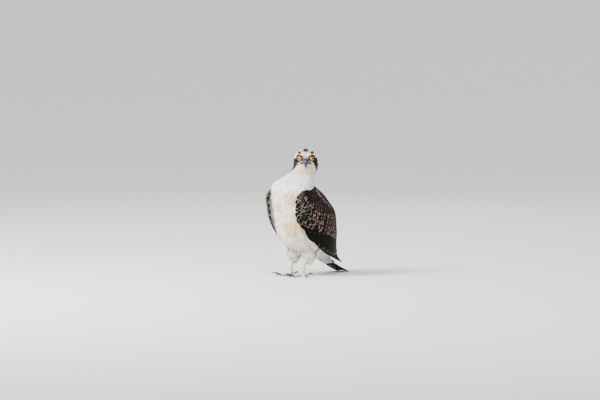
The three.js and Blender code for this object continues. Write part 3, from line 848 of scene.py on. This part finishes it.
def flat_vanes(place, roots, tips, halves, lifts, size, outward=1.0, pointed=0.0, tilt=0.6,
               rise=3.0, cup=0.8):
    """Vanes over a surface place(t, w): roots and tips [n, 2] in the surface's own coordinates."""
    n = len(roots)
    v, u = vane_axes(*size)
    half, lift = (np.full(n, value)[:, None, None] for value in (halves, lifts))
    t, w = (mix(roots[:, k, None, None], tips[:, k, None, None], v) + 0 * u for k in (0, 1))
    e = 0.004
    across = np.linalg.norm(place(t, w + e) - place(t, w - e), axis=-1) / (2 * e)
    length = np.linalg.norm(place(t + e, w) - place(t - e, w), axis=-1) / (2 * e)
    w = w + u * half * outline_of(v, pointed) / np.maximum(across, 1)
    bow = 0.5 * np.abs(u) ** 1.6 * smooth(0.55, 1, v)
    bow = bow + LONG_JAG * rng.uniform(-1, 1, (n, *size)) * smooth(0.5, 1, v)
    t = t - bow * half / np.maximum(length, 1)
    height = lift + rise * (smooth(0, 0.5, v) - 1) + tilt * u - cup * u * u
    return place(t, w) + normal_of(place, t, w) * outward * height[..., None]


def looking(obj, place, target):
    """Puts a camera or a light at a place and turns it to its target."""
    obj.location = place
    obj.rotation_mode = "QUATERNION"
    obj.rotation_quaternion = (Vector(target) - Vector(place)).to_track_quat("-Z", "Y")


# The camera keeps the photograph's framing, 600 pixels wide at 3.3 mm a pixel
CAMERA_AZIMUTH = math.radians(40)
CAMERA_ELEVATION = math.radians(4)
CAMERA_DISTANCE = 11.0
AIM_HEIGHT = 251.0
lens = bpy.data.cameras.new("camera")
lens.lens = 200
lens.sensor_width = 36
lens.clip_end = 1000
camera = linked("camera", lens)
aim = Vector(placed(AIM_HEIGHT * UP))
level = CAMERA_DISTANCE * math.cos(CAMERA_ELEVATION)
back = Vector((level * math.sin(CAMERA_AZIMUTH), -level * math.cos(CAMERA_AZIMUTH),
               CAMERA_DISTANCE * math.sin(CAMERA_ELEVATION)))
looking(camera, aim + back, aim)
bpy.context.scene.camera = camera


# Skin: one closed surface of body, brows, thighs, wing cores and tail root, inside the coat
def body_skin():
    z = np.concatenate([np.linspace(50, 340, 100), np.linspace(342, CROWN_Z - 1, 50)])[:, None]
    angle = np.linspace(0, 360, 96, endpoint=False)[None, :]
    return loft(body_point(z, angle, -np.where(z > HEAD_FROM_Z, HEAD_COAT, BODY_COAT)))


def thigh_skin(s):
    sizes = ((26, 29), (25, 26), (19, 20), (10, 10.5))
    return limb([(point, *size) for point, size in zip(thigh_axis(s), sizes)], 32, 24)


def wing_skin():
    t, w = grid_of((0.015, 0.6), (0.05, 0.98), (56, 40))
    outer, normal = wing_place(t, w), normal_of(wing_place, t, w)
    depth = mix(26, 3, smooth(0.36, 0.6, t))[..., None]
    return sheet_solid(outer - 1.2 * normal, outer - (depth - 0.6) * normal)


def brow_skin(s):
    return limb([
        (head_point(s * 9, 31, 7.5), 3, 3),
        (head_point(s * 17, 31, 10.5), 6, 4),
        (head_point(s * 26, 23.5, 10), 6.5, 4.2),
        (head_point(s * 33, 10.5, 6), 3.5, 3),
    ], 16, 12)


def tail_skin():
    t, w = grid_of((0.02, 0.5), (-0.95, 0.95), (12, 14))
    middle, share = tail_place(t, w), (t / 0.5)[..., None]
    return sheet_solid(middle + UP * mix(3, 0.6, share), middle - UP * mix(8, 1, share))


left_wing = wing_skin()
skin_solids = [body_skin(), thigh_skin(1), thigh_skin(-1), left_wing, mirrored(left_wing),
               tail_skin(), brow_skin(1), brow_skin(-1)]
skin = fused("skin", skin_solids, SKIN_VOXEL, 5)
skin_points = mesh_points(skin)
set_colours(skin, "Plumage", markings(skin_points))
finish_piece(skin, skin_material(), "white_feathers",
             "head", "neck", "torso", "thigh_left", "thigh_right")
skin_tree = BVHTree.FromPolygons(skin_points.tolist(), [tuple(p.vertices) for p in skin.data.polygons])


def unwrapped(p):
    """A place on an unwrap of the skin's own shape: round the body and up it."""
    x, y = np.moveaxis(section_at(p[..., 2])[..., :2], -1, 0)
    around = np.arctan2(p[..., 0] - x, y - p[..., 1]) / (2 * np.pi) + 0.5
    return 0.02 + 0.96 * pairs(around, p[..., 2] / 430)


# Wing feathers, tier by tier, the highest tier on the outside
def on_wing(coat, s, roots, tips, halves, lifts, size, finish, **shape):
    """Adds vanes to a coat of the left wing, or their mirror image to one of the right wing."""
    grids = flat_vanes(wing_place, roots, tips, halves, lifts, size, **shape)
    if s < 0:
        grids = grids[:, :, ::-1] * MIRROR
    coat.add(grids, *finish, 0.05 + 0.9 * roots, LONG_PATCH)


def finish_of(n, base, rim, strength):
    """Colours of n feathers in shades of a base, and their fringes with random strengths."""
    colour = np.array(base) * (1 + 0.15 * rng.uniform(-1, 1, (n, 1)))
    fringe = np.tile((*rim, 1.0), (n, 1))
    fringe[:, 3] = strength * rng.uniform(0.8, 1, n)
    return colour, fringe


def staggered(row, count, first, last):
    """Places across the wing of one row's feathers, every other row half a step on."""
    k = (np.arange(count) + 0.5 * (row % 2)) / (count - 0.5)
    return mix(first, last, k) + jitter(0.014, count)


def long_feathers(coat, s):
    """Primaries stacked to the wing's tip, secondaries over them, greater coverts on top."""
    half, cols = 11.0, 9
    # Primaries
    n = 8
    k = np.linspace(0, 1, n)
    roots = pairs(mix(0.46, 0.5, k), mix(0.06, 0.6, k))
    tips = pairs(mix(1.0, 0.80, k), mix(0.4, 0.85, k))
    finish = finish_of(n, BLACK, GREY, 0.25)
    on_wing(coat, s, roots, tips, half, 0.4 + 0.35 * np.arange(n), (28, cols), finish, cup=0.5)
    # Secondaries and the long inner feathers
    n = 15
    k = np.linspace(0, 1, n)
    w = mix(0.08, 0.96, k)
    roots = pairs(mix(0.38, 0.5, k), w)
    tips = pairs(np.minimum(0.62 + 0.75 * (w - 0.08), 0.86), w + 0.02)
    finish = finish_of(n, BLACK, PALE, 0.4)
    on_wing(coat, s, roots, tips, half, 2.4 + 0.1 * np.arange(n), (26, cols), finish, tilt=0.8)
    # Greater coverts, with pale tips that show towards the back
    w = mix(0.04, 0.95, k)
    roots, tips = pairs(0.27 + 0.25 * w, w), pairs(0.47 + 0.26 * w, w + 0.01)
    finish = finish_of(n, BLACK, PALE, 0.15 + 0.75 * smooth(0.3, 0.5, w))
    on_wing(coat, s, roots, tips, half, 3.6 + 0.03 * np.arange(n), (18, cols), finish, tilt=0.8)


def small_coverts(coat, s):
    """Rows of small coverts, each over the one below; they slant down towards the back."""
    rows, columns = 21, 21
    lowest, highest = 0.37, -0.42  # t of the rows' tips, carried on to the leading edge
    for row in range(rows):
        height = row / (rows - 1)
        w = staggered(row, columns, 0.015, 0.96)
        tip = mix(lowest, highest, height) + 0.49 * w + jitter(0.014, columns)
        kept = tip > 0.045
        if not kept.any():
            continue
        w, tip = w[kept], tip[kept]
        n = len(w)
        on_mantle = smooth(0.0, 0.10, 0.11 + 0.62 * w - tip)
        front = smooth(0.16, 0.04, w)
        colour, fringe = finish_of(n, DARK, FRINGE, 1.0)
        colour = mix(colour, np.array(MANTLE), (on_mantle * smooth(0.2, 0.5, w))[:, None])
        fringe[:, :3] = mix(np.array(FRINGE), np.array(PALE), front[:, None])
        fringe[:, 3] *= mix(1.0, 0.22, on_mantle) * (1 - 0.7 * front) * rng.uniform(0.25, 1.0, n)
        length = np.clip(0.05 + 0.28 * tip, 0.06, 0.14)
        halves = np.clip(4.2 + 2.8 * tip, 4.3, 5.6) * rng.uniform(0.9, 1.1, n)
        lifts = mix(4.0, 7.6, height) + jitter(0.15, n)
        on_wing(coat, s, pairs(tip - length, w), pairs(tip, w + 0.005), halves, lifts, (9, 7),
                (colour, fringe), tilt=0.1, cup=0.4, rise=2.4)


def front_feathers(coat, s):
    """Small close feathers with pale tips along the wing's front edge."""
    n = 5
    for row in range(11):
        w = staggered(row, n, 0.0, 0.19)
        tip = 0.40 - 0.031 * row + 0.35 * w + jitter(0.011, n)
        colour, fringe = finish_of(n, DARK, PALE, 1.0)
        fringe[:, 3] *= (1 - smooth(0.14, 0.26, w)) * rng.uniform(0.05, 0.85, n)
        on_wing(coat, s, pairs(tip - 0.075, w), pairs(tip, w - 0.01), halves=5.4,
                lifts=5.4 + 0.24 * row, size=(8, 6), finish=(colour, fringe), tilt=0.3, cup=0.3)


def shoulder_line(coat, s):
    """Feathers whose pale tips make a broken line over the mantle."""
    n = 9
    tip = np.linspace(0.07, 0.30, n) + jitter(0.008, n)
    w = np.linspace(0.44, 0.58, n) + jitter(0.02, n)
    colour, fringe = finish_of(n, MANTLE, RIM, 1.0)
    fringe[:, 3] *= rng.uniform(0.3, 0.95, n)
    on_wing(coat, s, pairs(tip - 0.08, w - 0.03), pairs(tip, w), halves=6.2,
            lifts=np.linspace(8.9, 8.2, n), size=(9, 7), finish=(colour, fringe), tilt=0.3, cup=0.4)


for s in SIDES:
    side = SIDE_NAME[s]
    flight, edge = Coat("wing_flight_" + side), Coat("wing_edge_" + side)
    coverts = Coat("wing_coverts_" + side)
    long_feathers(flight, s)
    small_coverts(coverts, s)
    front_feathers(edge, s)
    shoulder_line(edge, s)
    for coat, material in ((flight, FLIGHT), (edge, EDGE), (coverts, COVERT)):
        coat.build(material, "dark_feathers", "wing_" + side)


# Tail feathers
def tail_fan():
    coat = Coat("tail_feathers")
    n, cols = 12, 9
    w = np.linspace(-1, 1, n)
    out = np.abs(w)
    grids = flat_vanes(tail_place, pairs(0.1, 0.75 * w), pairs(1 - 0.03 * out, w), halves=9.0,
                       lifts=1.6 - 1.5 * out, size=(40, cols), outward=-1.0, rise=1.5, tilt=0.0, cup=0.5)
    # Each feather's outer side is the higher one, and none goes below the floor
    slope = np.linspace(-1, 1, cols) * np.sign(w)[:, None]
    grids = grids + 0.6 * UP * slope[:, None, :, None]
    grids[..., 2] = np.maximum(grids[..., 2], 0.3)
    colour, fringe = 1.4 * np.tile(DARK, (n, 1)), np.tile((*GREY, 0.5), (n, 1))
    coat.add(grids, colour, fringe, pairs(0.5 + 0.4 * w, 0.2), LONG_PATCH)
    coat.build(BARRED, "tail_feathers", "tail")


def tail_layer(side, at_root, beyond):
    """The tail's surface moved up or down: by one depth at the root, another from half-way on."""

    def place(t, w):
        depth = mix(at_root, beyond, np.clip(t / 0.5, 0, 1))
        return tail_place(t, w) + side * UP * depth[..., None]

    return place


def tail_coverts():
    """Long pale feathers under the tail's root and dark ones over it."""
    coat = Coat("tail_coverts")
    for side, at_root, beyond, base in ((-1, 10, 1.0, GREY_WHITE), (1, 5, 0.8, DARK)):
        place = tail_layer(side, at_root, beyond)
        for row in range(5):
            n = 8 + row % 2
            w = np.linspace(-0.86, 0.86, n)
            tip = 0.5 - 0.09 * row - 0.05 * np.abs(w) + jitter(0.012, n)
            grids = flat_vanes(place, pairs(tip - 0.26, 0.9 * w), pairs(tip, w), halves=6.5,
                               lifts=0.8 + 0.7 * row, size=(14, 7), outward=-side, rise=1.2,
                               tilt=0.2, cup=0.6, pointed=0.2)
            colour = np.array(base) * (1 + 0.12 * rng.uniform(-1, 1, (n, 1)))
            fringe = np.column_stack([np.clip(colour * 1.3, 0, 0.9), np.full(n, 0.5)])
            coat.add(grids, colour, fringe, pairs(0.5 + 0.4 * w, 0.16 + 0.01 * row), LONG_PATCH)
    coat.build(FEATHER, "tail_feathers", "tail")


tail_fan()
tail_coverts()


# Small feathers of head, neck, body and thighs, rooted on the skin
def points_of_wings():
    """A search tree of points on both wings' outer surfaces."""
    points = wing_place(*grid_of((0, 1), (0, 1), (110, 50))).reshape(-1, 3)
    points = np.vstack([points, points * MIRROR])
    made = KDTree(len(points))
    for i, p in enumerate(points):
        made.insert(p, i)
    made.balance()
    return made


wing_tree = points_of_wings()


def wing_distance(points):
    return np.array([wing_tree.find(p)[2] for p in points.tolist()])


def skin_samples(count):
    """Random points over the skin with their normals, even by area."""
    mesh = skin.data
    mesh.calc_loop_triangles()
    corners = np.empty(len(mesh.loop_triangles) * 3, np.int32)
    mesh.loop_triangles.foreach_get("vertices", corners)
    tri = skin_points[corners.reshape(-1, 3)]
    cross = np.cross(tri[:, 1] - tri[:, 0], tri[:, 2] - tri[:, 0])
    area = np.linalg.norm(cross, axis=1) / 2
    chosen = rng.choice(len(tri), count, p=area / area.sum())
    a, b = np.sqrt(rng.random(count)), rng.random(count)
    weights = np.stack([1 - a, a * (1 - b), a * b], 1)
    return (tri[chosen] * weights[..., None]).sum(1), unit(cross[chosen])


def between_wings(p, margin):
    """Where the back shows between the wings' trailing edges."""
    gap = np.interp(p[:, 2], [36, 150, 210, 256, 296], [8, 9, 12, 22, 32])
    return (np.abs(p[:, 0]) < gap + margin) & (p[:, 1] > 15) & (p[:, 2] > 120)


def spacing_at(p, to_wing):
    """How far small feathers keep from each other, or 0 where there are none."""
    side, forward, up = head_space(p)
    z = p[:, 2]
    on_head = z > HEAD_FROM_Z
    spacing = np.where(z > 300, NECK_SPACING, BODY_SPACING)
    spacing[on_head] = HEAD_SPACING
    spacing[on_head & (forward > 24)] = FACE_SPACING
    to_bill = np.linalg.norm(np.stack([side, (forward - 40) * 0.7, (up + 9) * 0.8], 1), axis=1)
    on_face = (eye_distance(p, 5) < EYE_BARE) | ((to_bill < BILL_BARE) & (forward > 30))
    under_wing = (to_wing < 7) & (z < 300) & ~between_wings(p, 4)
    return np.where(on_face | under_wing | (p[:, 1] > TAIL_FROM_Y), 0, spacing)


def thinned(points, spacing):
    """Keeps points that lie at least their own spacing from those kept before them."""
    cell = 4.0  # wider than any spacing
    steps = list(itertools.product((-1, 0, 1), repeat=3))
    kept, grid = [], {}
    for i, (p, gap) in enumerate(zip(points.tolist(), spacing.tolist())):
        if gap == 0:
            continue
        x, y, z = (math.floor(c / cell) for c in p)
        cells = (grid.get((x + dx, y + dy, z + dz), ()) for dx, dy, dz in steps)
        if not any(math.dist(p, q) < gap for near in cells for q in near):
            kept.append(i)
            grid.setdefault((x, y, z), []).append(p)
    return np.array(kept)


BILL_BASE = head_point(0, 40, -8)


def flow_at(p, normal):
    """The way the feathers lie: back from the bill over the head, and down the body."""
    z = p[..., 2:3]
    on_head = smooth(330, 362, z)
    from_bill = unit(p - BILL_BASE) + np.array([0, 0, -0.45])
    body = np.array([0, 0.22, -1.0]) + np.array([0, 0.8, 0.4]) * smooth(120, 70, z)
    flow = mix(body, from_bill, on_head)
    for s in SIDES:
        away = p - eye_centre(s)
        distance = np.linalg.norm(away, axis=-1, keepdims=True)
        flow = flow + 1.6 * unit(away) * bump_at(distance, 10, 6) * on_head
    return unit(flow - normal * (flow * normal).sum(-1, keepdims=True))


def laid(roots, normals, lengths, steps, hang):
    """Centre-lines that follow the skin along the flow, or hang straight down as hang nears 1."""
    centre, normal = [roots], [normals]
    p, n = roots, normals
    for _ in range(steps):
        flow = unit(mix(flow_at(p, n), np.array([0, -0.1, -1.0]), hang))
        ahead = p + flow * (lengths / steps)[:, None]
        found = [skin_tree.find_nearest(q)[:2] for q in ahead.tolist()]
        nearest, facing = np.moveaxis(np.array(found), 1, 0)
        p = mix(nearest, ahead, hang)
        n = unit(0.5 * n + 0.5 * facing)
        centre.append(p)
        normal.append(n)
    return np.stack(centre, 1), np.stack(normal, 1)


def skin_vanes(roots, normals, lengths, halves, lifts, steps, cols, hang):
    """Vanes along the skin; lifts are how high their tips stand over it."""
    centre, normal = laid(roots, normals, lengths, steps, hang)
    v, u = vane_axes(steps + 1, cols)
    tangent = unit(np.gradient(centre, axis=1))
    side = unit(np.cross(tangent, normal))
    length, widest, lift = (value[:, None, None] for value in (lengths, halves, lifts))
    half = widest * outline_of(v, 0.3)
    height = mix(-0.5, lift, smooth(0, 0.9, v)) - 0.16 * widest * u * u
    ragged = SMALL_JAG * rng.uniform(-1, 1, (len(roots), steps + 1, cols)) * smooth(0.4, 1, v)
    bow = ragged * length - 0.45 * half * np.abs(u) ** 1.6 * smooth(0.5, 1, v)
    grids = centre[:, :, None] + side[:, :, None] * (u * half)[..., None]
    return grids + normal[:, :, None] * height[..., None] + tangent[:, :, None] * bow[..., None]


def body_lengths(p):
    """Short feathers on the face, longer ones down the body and on the thighs."""
    forward, z = head_space(p)[1], p[:, 2]
    length = np.interp(z, [40, 90, 150, 260, 310, 345], [34, 28, 25, 20, 17, 13])
    head = np.interp(-forward, [-40, -25, 0, 30], [3.2, 5.0, 9, 15])
    length = mix(length, head, smooth(335, 352, z))
    length = length * (1 + 0.35 * (p[:, 1] < 60) * (1 - smooth(72, 92, z)))
    return length * rng.uniform(0.85, 1.15, len(p))


def clear_of_wings(grids):
    """Which feathers don't come through a wing."""
    middles = grids[:, 1:].mean(2)
    reach = wing_distance(middles.reshape(-1, 3)).reshape(len(grids), -1).min(1)
    tips = middles[:, -1]
    return (reach > WING_CLEARANCE) | (tips[:, 2] > 280) | between_wings(tips, -3)


def small_coat(name, mask, steps, cols, hang=0.0):
    """A coat on the chosen roots; hang is how far its feathers hang down off the skin."""
    p, to_wing = roots[mask], root_to_wing[mask]
    low = p[:, 2] < HEAD_FROM_Z
    lengths = body_lengths(p) * (1 + 0.3 * hang)
    halves = lengths * np.where(low, 0.30, 0.24)
    lifts = np.interp(lengths, [3, 8, 14, 30], [0.7, 1.8, 2.3, 3.4]) * rng.uniform(0.6, 1.4, len(p))
    lifts = lifts * (1 + 0.8 * low * (1 - smooth(9, 18, to_wing)))
    lifts = lifts * (1 + 0.55 * noise(p, np.where(low, 8.0, 4.5)[:, None], 7))
    grids = skin_vanes(p, root_normals[mask], lengths, halves, lifts, steps, cols, hang)
    clear = clear_of_wings(grids)
    p, grids = p[clear], grids[clear]
    colour = markings(p + 0.35 * (grids[:, -1].mean(1) - p))
    colour = colour * (1 - 0.16 * rng.uniform(0, 1, (len(p), 1)))
    fringe = np.column_stack([np.clip(colour * 1.25 + 0.02, 0, 0.9), np.full(len(p), 0.5)])
    coat = Coat(name)
    coat.add(grids, colour, fringe, unwrapped(p), SMALL_PATCH)
    coat.build(FEATHER, "white_feathers")


def near_thigh(p, s):
    axis = np.linspace(*thigh_axis(s)[[1, 3]], 8)
    distance = np.min([np.linalg.norm(p - q, axis=1) for q in axis], 0)
    return (distance < THIGH_REACH) & (p[:, 2] < THIGH_BELOW_Z)


samples, sample_normals = skin_samples(SAMPLES)
sample_to_wing = wing_distance(samples)
kept = thinned(samples, spacing_at(samples, sample_to_wing))
roots, root_normals, root_to_wing = samples[kept], sample_normals[kept], sample_to_wing[kept]
on_thigh = {s: near_thigh(roots, s) for s in SIDES}
on_head = roots[:, 2] > HEAD_FROM_Z
on_body = ~on_head & ~on_thigh[1] & ~on_thigh[-1]
in_front = roots[:, 1] < REAR_FROM_Y
small_coat("coat_head", on_head, 4, 4)
small_coat("coat_front", on_body & in_front, 5, 5)
small_coat("coat_rear", on_body & ~in_front, 5, 5)
for s in SIDES:
    small_coat("coat_thigh_" + SIDE_NAME[s], on_thigh[s], 5, 5, hang=0.7)


# Eyes: a ball with a bulging clear front, its iris unwrapped about the eye's axis
def eye_frame(s):
    """The eye's centre and axis, and the directions right and up across the axis."""
    axis = eye_axis(s)
    right = unit(np.cross(axis, UP))
    return eye_centre(s), axis, right, np.cross(right, axis)


def eye(s):
    centre, axis, right, up = eye_frame(s)
    polar = np.linspace(0.03, np.pi - 0.03, 41)[:, None, None]
    around = np.linspace(0, 2 * np.pi, 48, endpoint=False)[None, :, None]
    radius = EYE_R + 0.5 * np.exp(-((polar / 0.5) ** 2))
    across = np.cos(around) * right + np.sin(around) * up
    offset = radius * np.cos(polar) * axis + EYE_R * np.sin(polar) * across
    vertices, faces = loft(centre + offset)
    obj = object_of("eyeball_" + SIDE_NAME[s], vertices, faces)
    offset = vertices - centre
    set_uv(obj, "Iris", pairs(offset @ right, offset @ up) / IRIS_MAP + 0.5)
    finish_piece(obj, EYE, "iris", "eye_" + SIDE_NAME[s])


def lids(s):
    """A dark rim of bare skin round the eye, flatter over the top."""
    centre, axis, right, up = eye_frame(s)
    sides, section = 48, 10
    ring_r, ring_ahead, flat_top = 8.5, 6.6, 2.3
    half_wide, half_deep = 0.9, 1.1
    around = np.linspace(0, 2 * np.pi, sides, endpoint=False)[:, None]
    turn = np.linspace(0, 2 * np.pi, section, endpoint=False)[None, :, None]
    outward = np.cos(around) * right + np.sin(around) * up
    reach = ring_r - flat_top * np.clip(np.sin(around + s * 0.45), 0, 1) ** 2
    middle = centre + ring_ahead * axis + reach * outward
    points = middle[:, None] + half_wide * np.cos(turn) * outward[:, None]
    points = points + half_deep * np.sin(turn) * axis
    faces = ring_faces(sides, section, closed=True)
    obj = object_of("lids_" + SIDE_NAME[s], points.reshape(-1, 3), faces)
    set_tone(obj, 0.1)
    finish_piece(obj, LID, "bill_horn")


for s in SIDES:
    eye(s)
    lids(s)


# Bill: the upper half hooks over the lower
BILL_FROM = 36
BILL_LENGTH = 25
BILL_DROP = 34
BILL_HALF = 10.4


def upper_bill():
    tip = BILL_FROM + BILL_LENGTH
    vertices, faces = limb([
        (head_point(0, BILL_FROM - 7, -6.5), BILL_HALF, 9),
        (head_point(0, BILL_FROM, -6.4), BILL_HALF, 9.4),
        (head_point(0, BILL_FROM + 0.42 * BILL_LENGTH, -7.2), BILL_HALF * 0.9, 9.2),
        (head_point(0, tip - 6, -11.5), BILL_HALF * 0.72, 8),
        (head_point(0, tip - 3, -19), BILL_HALF * 0.5, 6),
        (head_point(0, tip - 2.6, -26.5), BILL_HALF * 0.27, 3.4),
        (head_point(0, tip - 4.5, -BILL_DROP), 0.5, 0.7),
    ], 40, 60)
    side, forward, up = head_space(vertices)
    # The nostril is a slanting slit, pressed 1 mm in, behind the dark horn
    nostril_forward = BILL_FROM + 8
    nostril_up = -4 + 0.3 * (forward - nostril_forward)
    nostril = bump_at(np.abs(side), 8, 3) * bump_at(forward, nostril_forward, 1.8)
    nostril = nostril * bump_at(up, nostril_up, 1.2)
    sideways = head_point(1, 0, 0) - head_point(0, 0, 0)
    vertices = vertices - sideways * (np.sign(side) * nostril)[:, None]
    obj = object_of("bill_upper_horn", vertices, faces)
    # Light cere and dark hooked horn; the nostril slit is painted dark as painted shade in its opening
    set_tone(obj, (1 - smooth(45, 48, forward)) * (1 - smooth(0.3, 0.7, nostril)))
    finish_piece(obj, HORN, "bill_horn", "bill_upper")


def lower_bill():
    vertices, faces = limb([
        (head_point(0, BILL_FROM - 14, -16), 7, 3.2),
        (head_point(0, BILL_FROM, -16.6), 6.6, 3.2),
        (head_point(0, BILL_FROM + 10, -17.2), 5, 2.8),
        (head_point(0, BILL_FROM + 17, -17.4), 2.4, 1.8),
    ], 32, 30)
    obj = object_of("bill_lower_horn", vertices, faces)
    set_tone(obj, 0.6 - 0.5 * smooth(38, 48, head_space(vertices)[1]))
    finish_piece(obj, HORN, "bill_horn", "bill_lower")


upper_bill()
lower_bill()


# Legs, feet and claws
def digit(s, turn, stations):
    """A limb out from the foot, along stations of (reach, height, half-width, half-height)."""
    d = toe_direction(s, turn)
    return limb([(FOOT[s] + d * reach + UP * z, wide, high) for reach, z, wide, high in stations], 20, 30)


def toe(s, turn, length, r):
    return digit(s, turn, (
        (-0.04 * length, 10, 1.1 * r, r),
        (0.2 * length, 7.6, r, r),
        (0.45 * length, 5.4, 0.95 * r, r),
        (0.62 * length, 5.8, 0.85 * r, 0.95 * r),
        (0.82 * length, 4.2, 0.85 * r, 0.95 * r),
        (length, 4.6, 0.62 * r, 0.72 * r),
    ))


def claw(s, name, turn, length, r):
    base = 0.62 * r
    vertices, faces = digit(s, turn, (
        (length - 5, 5.2, 0.8 * base, 0.85 * base),
        (length + 1, 7, 0.86 * base, base),
        (length + 0.3 * CLAW_LENGTH, 9, 0.74 * base, 0.86 * base),
        (length + 0.58 * CLAW_LENGTH, 8, 0.55 * base, 0.62 * base),
        (length + 0.76 * CLAW_LENGTH, 4.6, 0.34 * base, 0.38 * base),
        (length + 0.82 * CLAW_LENGTH, 1, 0.35, 0.35),
    ))
    obj = object_of("talon_%s_%s" % (name, SIDE_NAME[s]), vertices, faces)
    set_tone(obj, 0.1)
    finish_piece(obj, CLAW, "claw_horn", "claw_%s_%s" % (name, SIDE_NAME[s]))


def leg(s):
    side, base = SIDE_NAME[s], FOOT[s]
    top = np.array([s * 31, 1, THIGH_LOW_Z + 8])
    shank = limb([
        (top, TARSUS_R * 1.15, TARSUS_R * 1.2),
        (mix(top, ankle(s), 0.35), TARSUS_R, TARSUS_R * 1.05),
        (mix(top, ankle(s), 0.75), TARSUS_R * 0.95, TARSUS_R),
        (ankle(s), TARSUS_R * 1.2, TARSUS_R * 1.15),
    ], 24, 24)
    knuckle = limb([
        (base + (0, 5, 18), 6.4, 6.2),
        (base + (0, 2, 11), 8, 8),
        (base + (0, 0, 5), 8.5, 9),
    ], 24, 12)
    toes = [toe(s, *measures) for _, *measures in TOES]
    obj = fused("leg_" + side, [shank, knuckle, *toes], LEG_VOXEL, 4)
    points = mesh_points(obj)
    points[:, 2] = np.maximum(points[:, 2], 0.0)
    obj.data.vertices.foreach_set("co", placed(points).astype(np.float32).ravel())
    obj.data.update()
    finish_piece(obj, SCALES, "leg_skin", "tarsus_" + side, "foot_" + side)


for s in SIDES:
    leg(s)
    for measures in TOES:
        claw(s, *measures)


# Floor and light: plain, pale and soft
def floor():
    bpy.ops.mesh.primitive_plane_add(size=600)  # metres, so that its edge is above the frame
    made = bpy.context.object
    made.name = "floor"
    made.data.materials.append(floor_material())


def softbox(name, place, size, power, colour):
    data = bpy.data.lights.new(name, "AREA")
    data.shape = "DISK"
    data.size = size
    data.energy = power
    data.color = colour
    looking(linked(name, data), place, (0, 0, 0.25))


def daylight():
    data = bpy.data.lights.new("daylight", "SUN")
    data.energy = 2.4
    data.angle = 0.7
    linked("daylight", data).rotation_euler = (math.radians(38), 0, math.radians(20))


def sky():
    world = bpy.data.worlds.new("studio")
    world.use_nodes = True
    background = world.node_tree.nodes["Background"].inputs
    background["Color"].default_value = (0.88, 0.88, 0.88, 1)
    background["Strength"].default_value = 0.85
    bpy.context.scene.world = world


floor()
softbox("key", place=(-0.9, -2.3, 2.3), size=1.3, power=280, colour=(1.0, 0.96, 0.90))
softbox("fill", place=(2.8, -0.6, 1.4), size=2.0, power=20, colour=(0.93, 0.96, 1.0))
softbox("rim", place=(-1.6, 2.4, 2.2), size=1.6, power=30, colour=(1.0, 0.98, 0.96))
daylight()
sky()
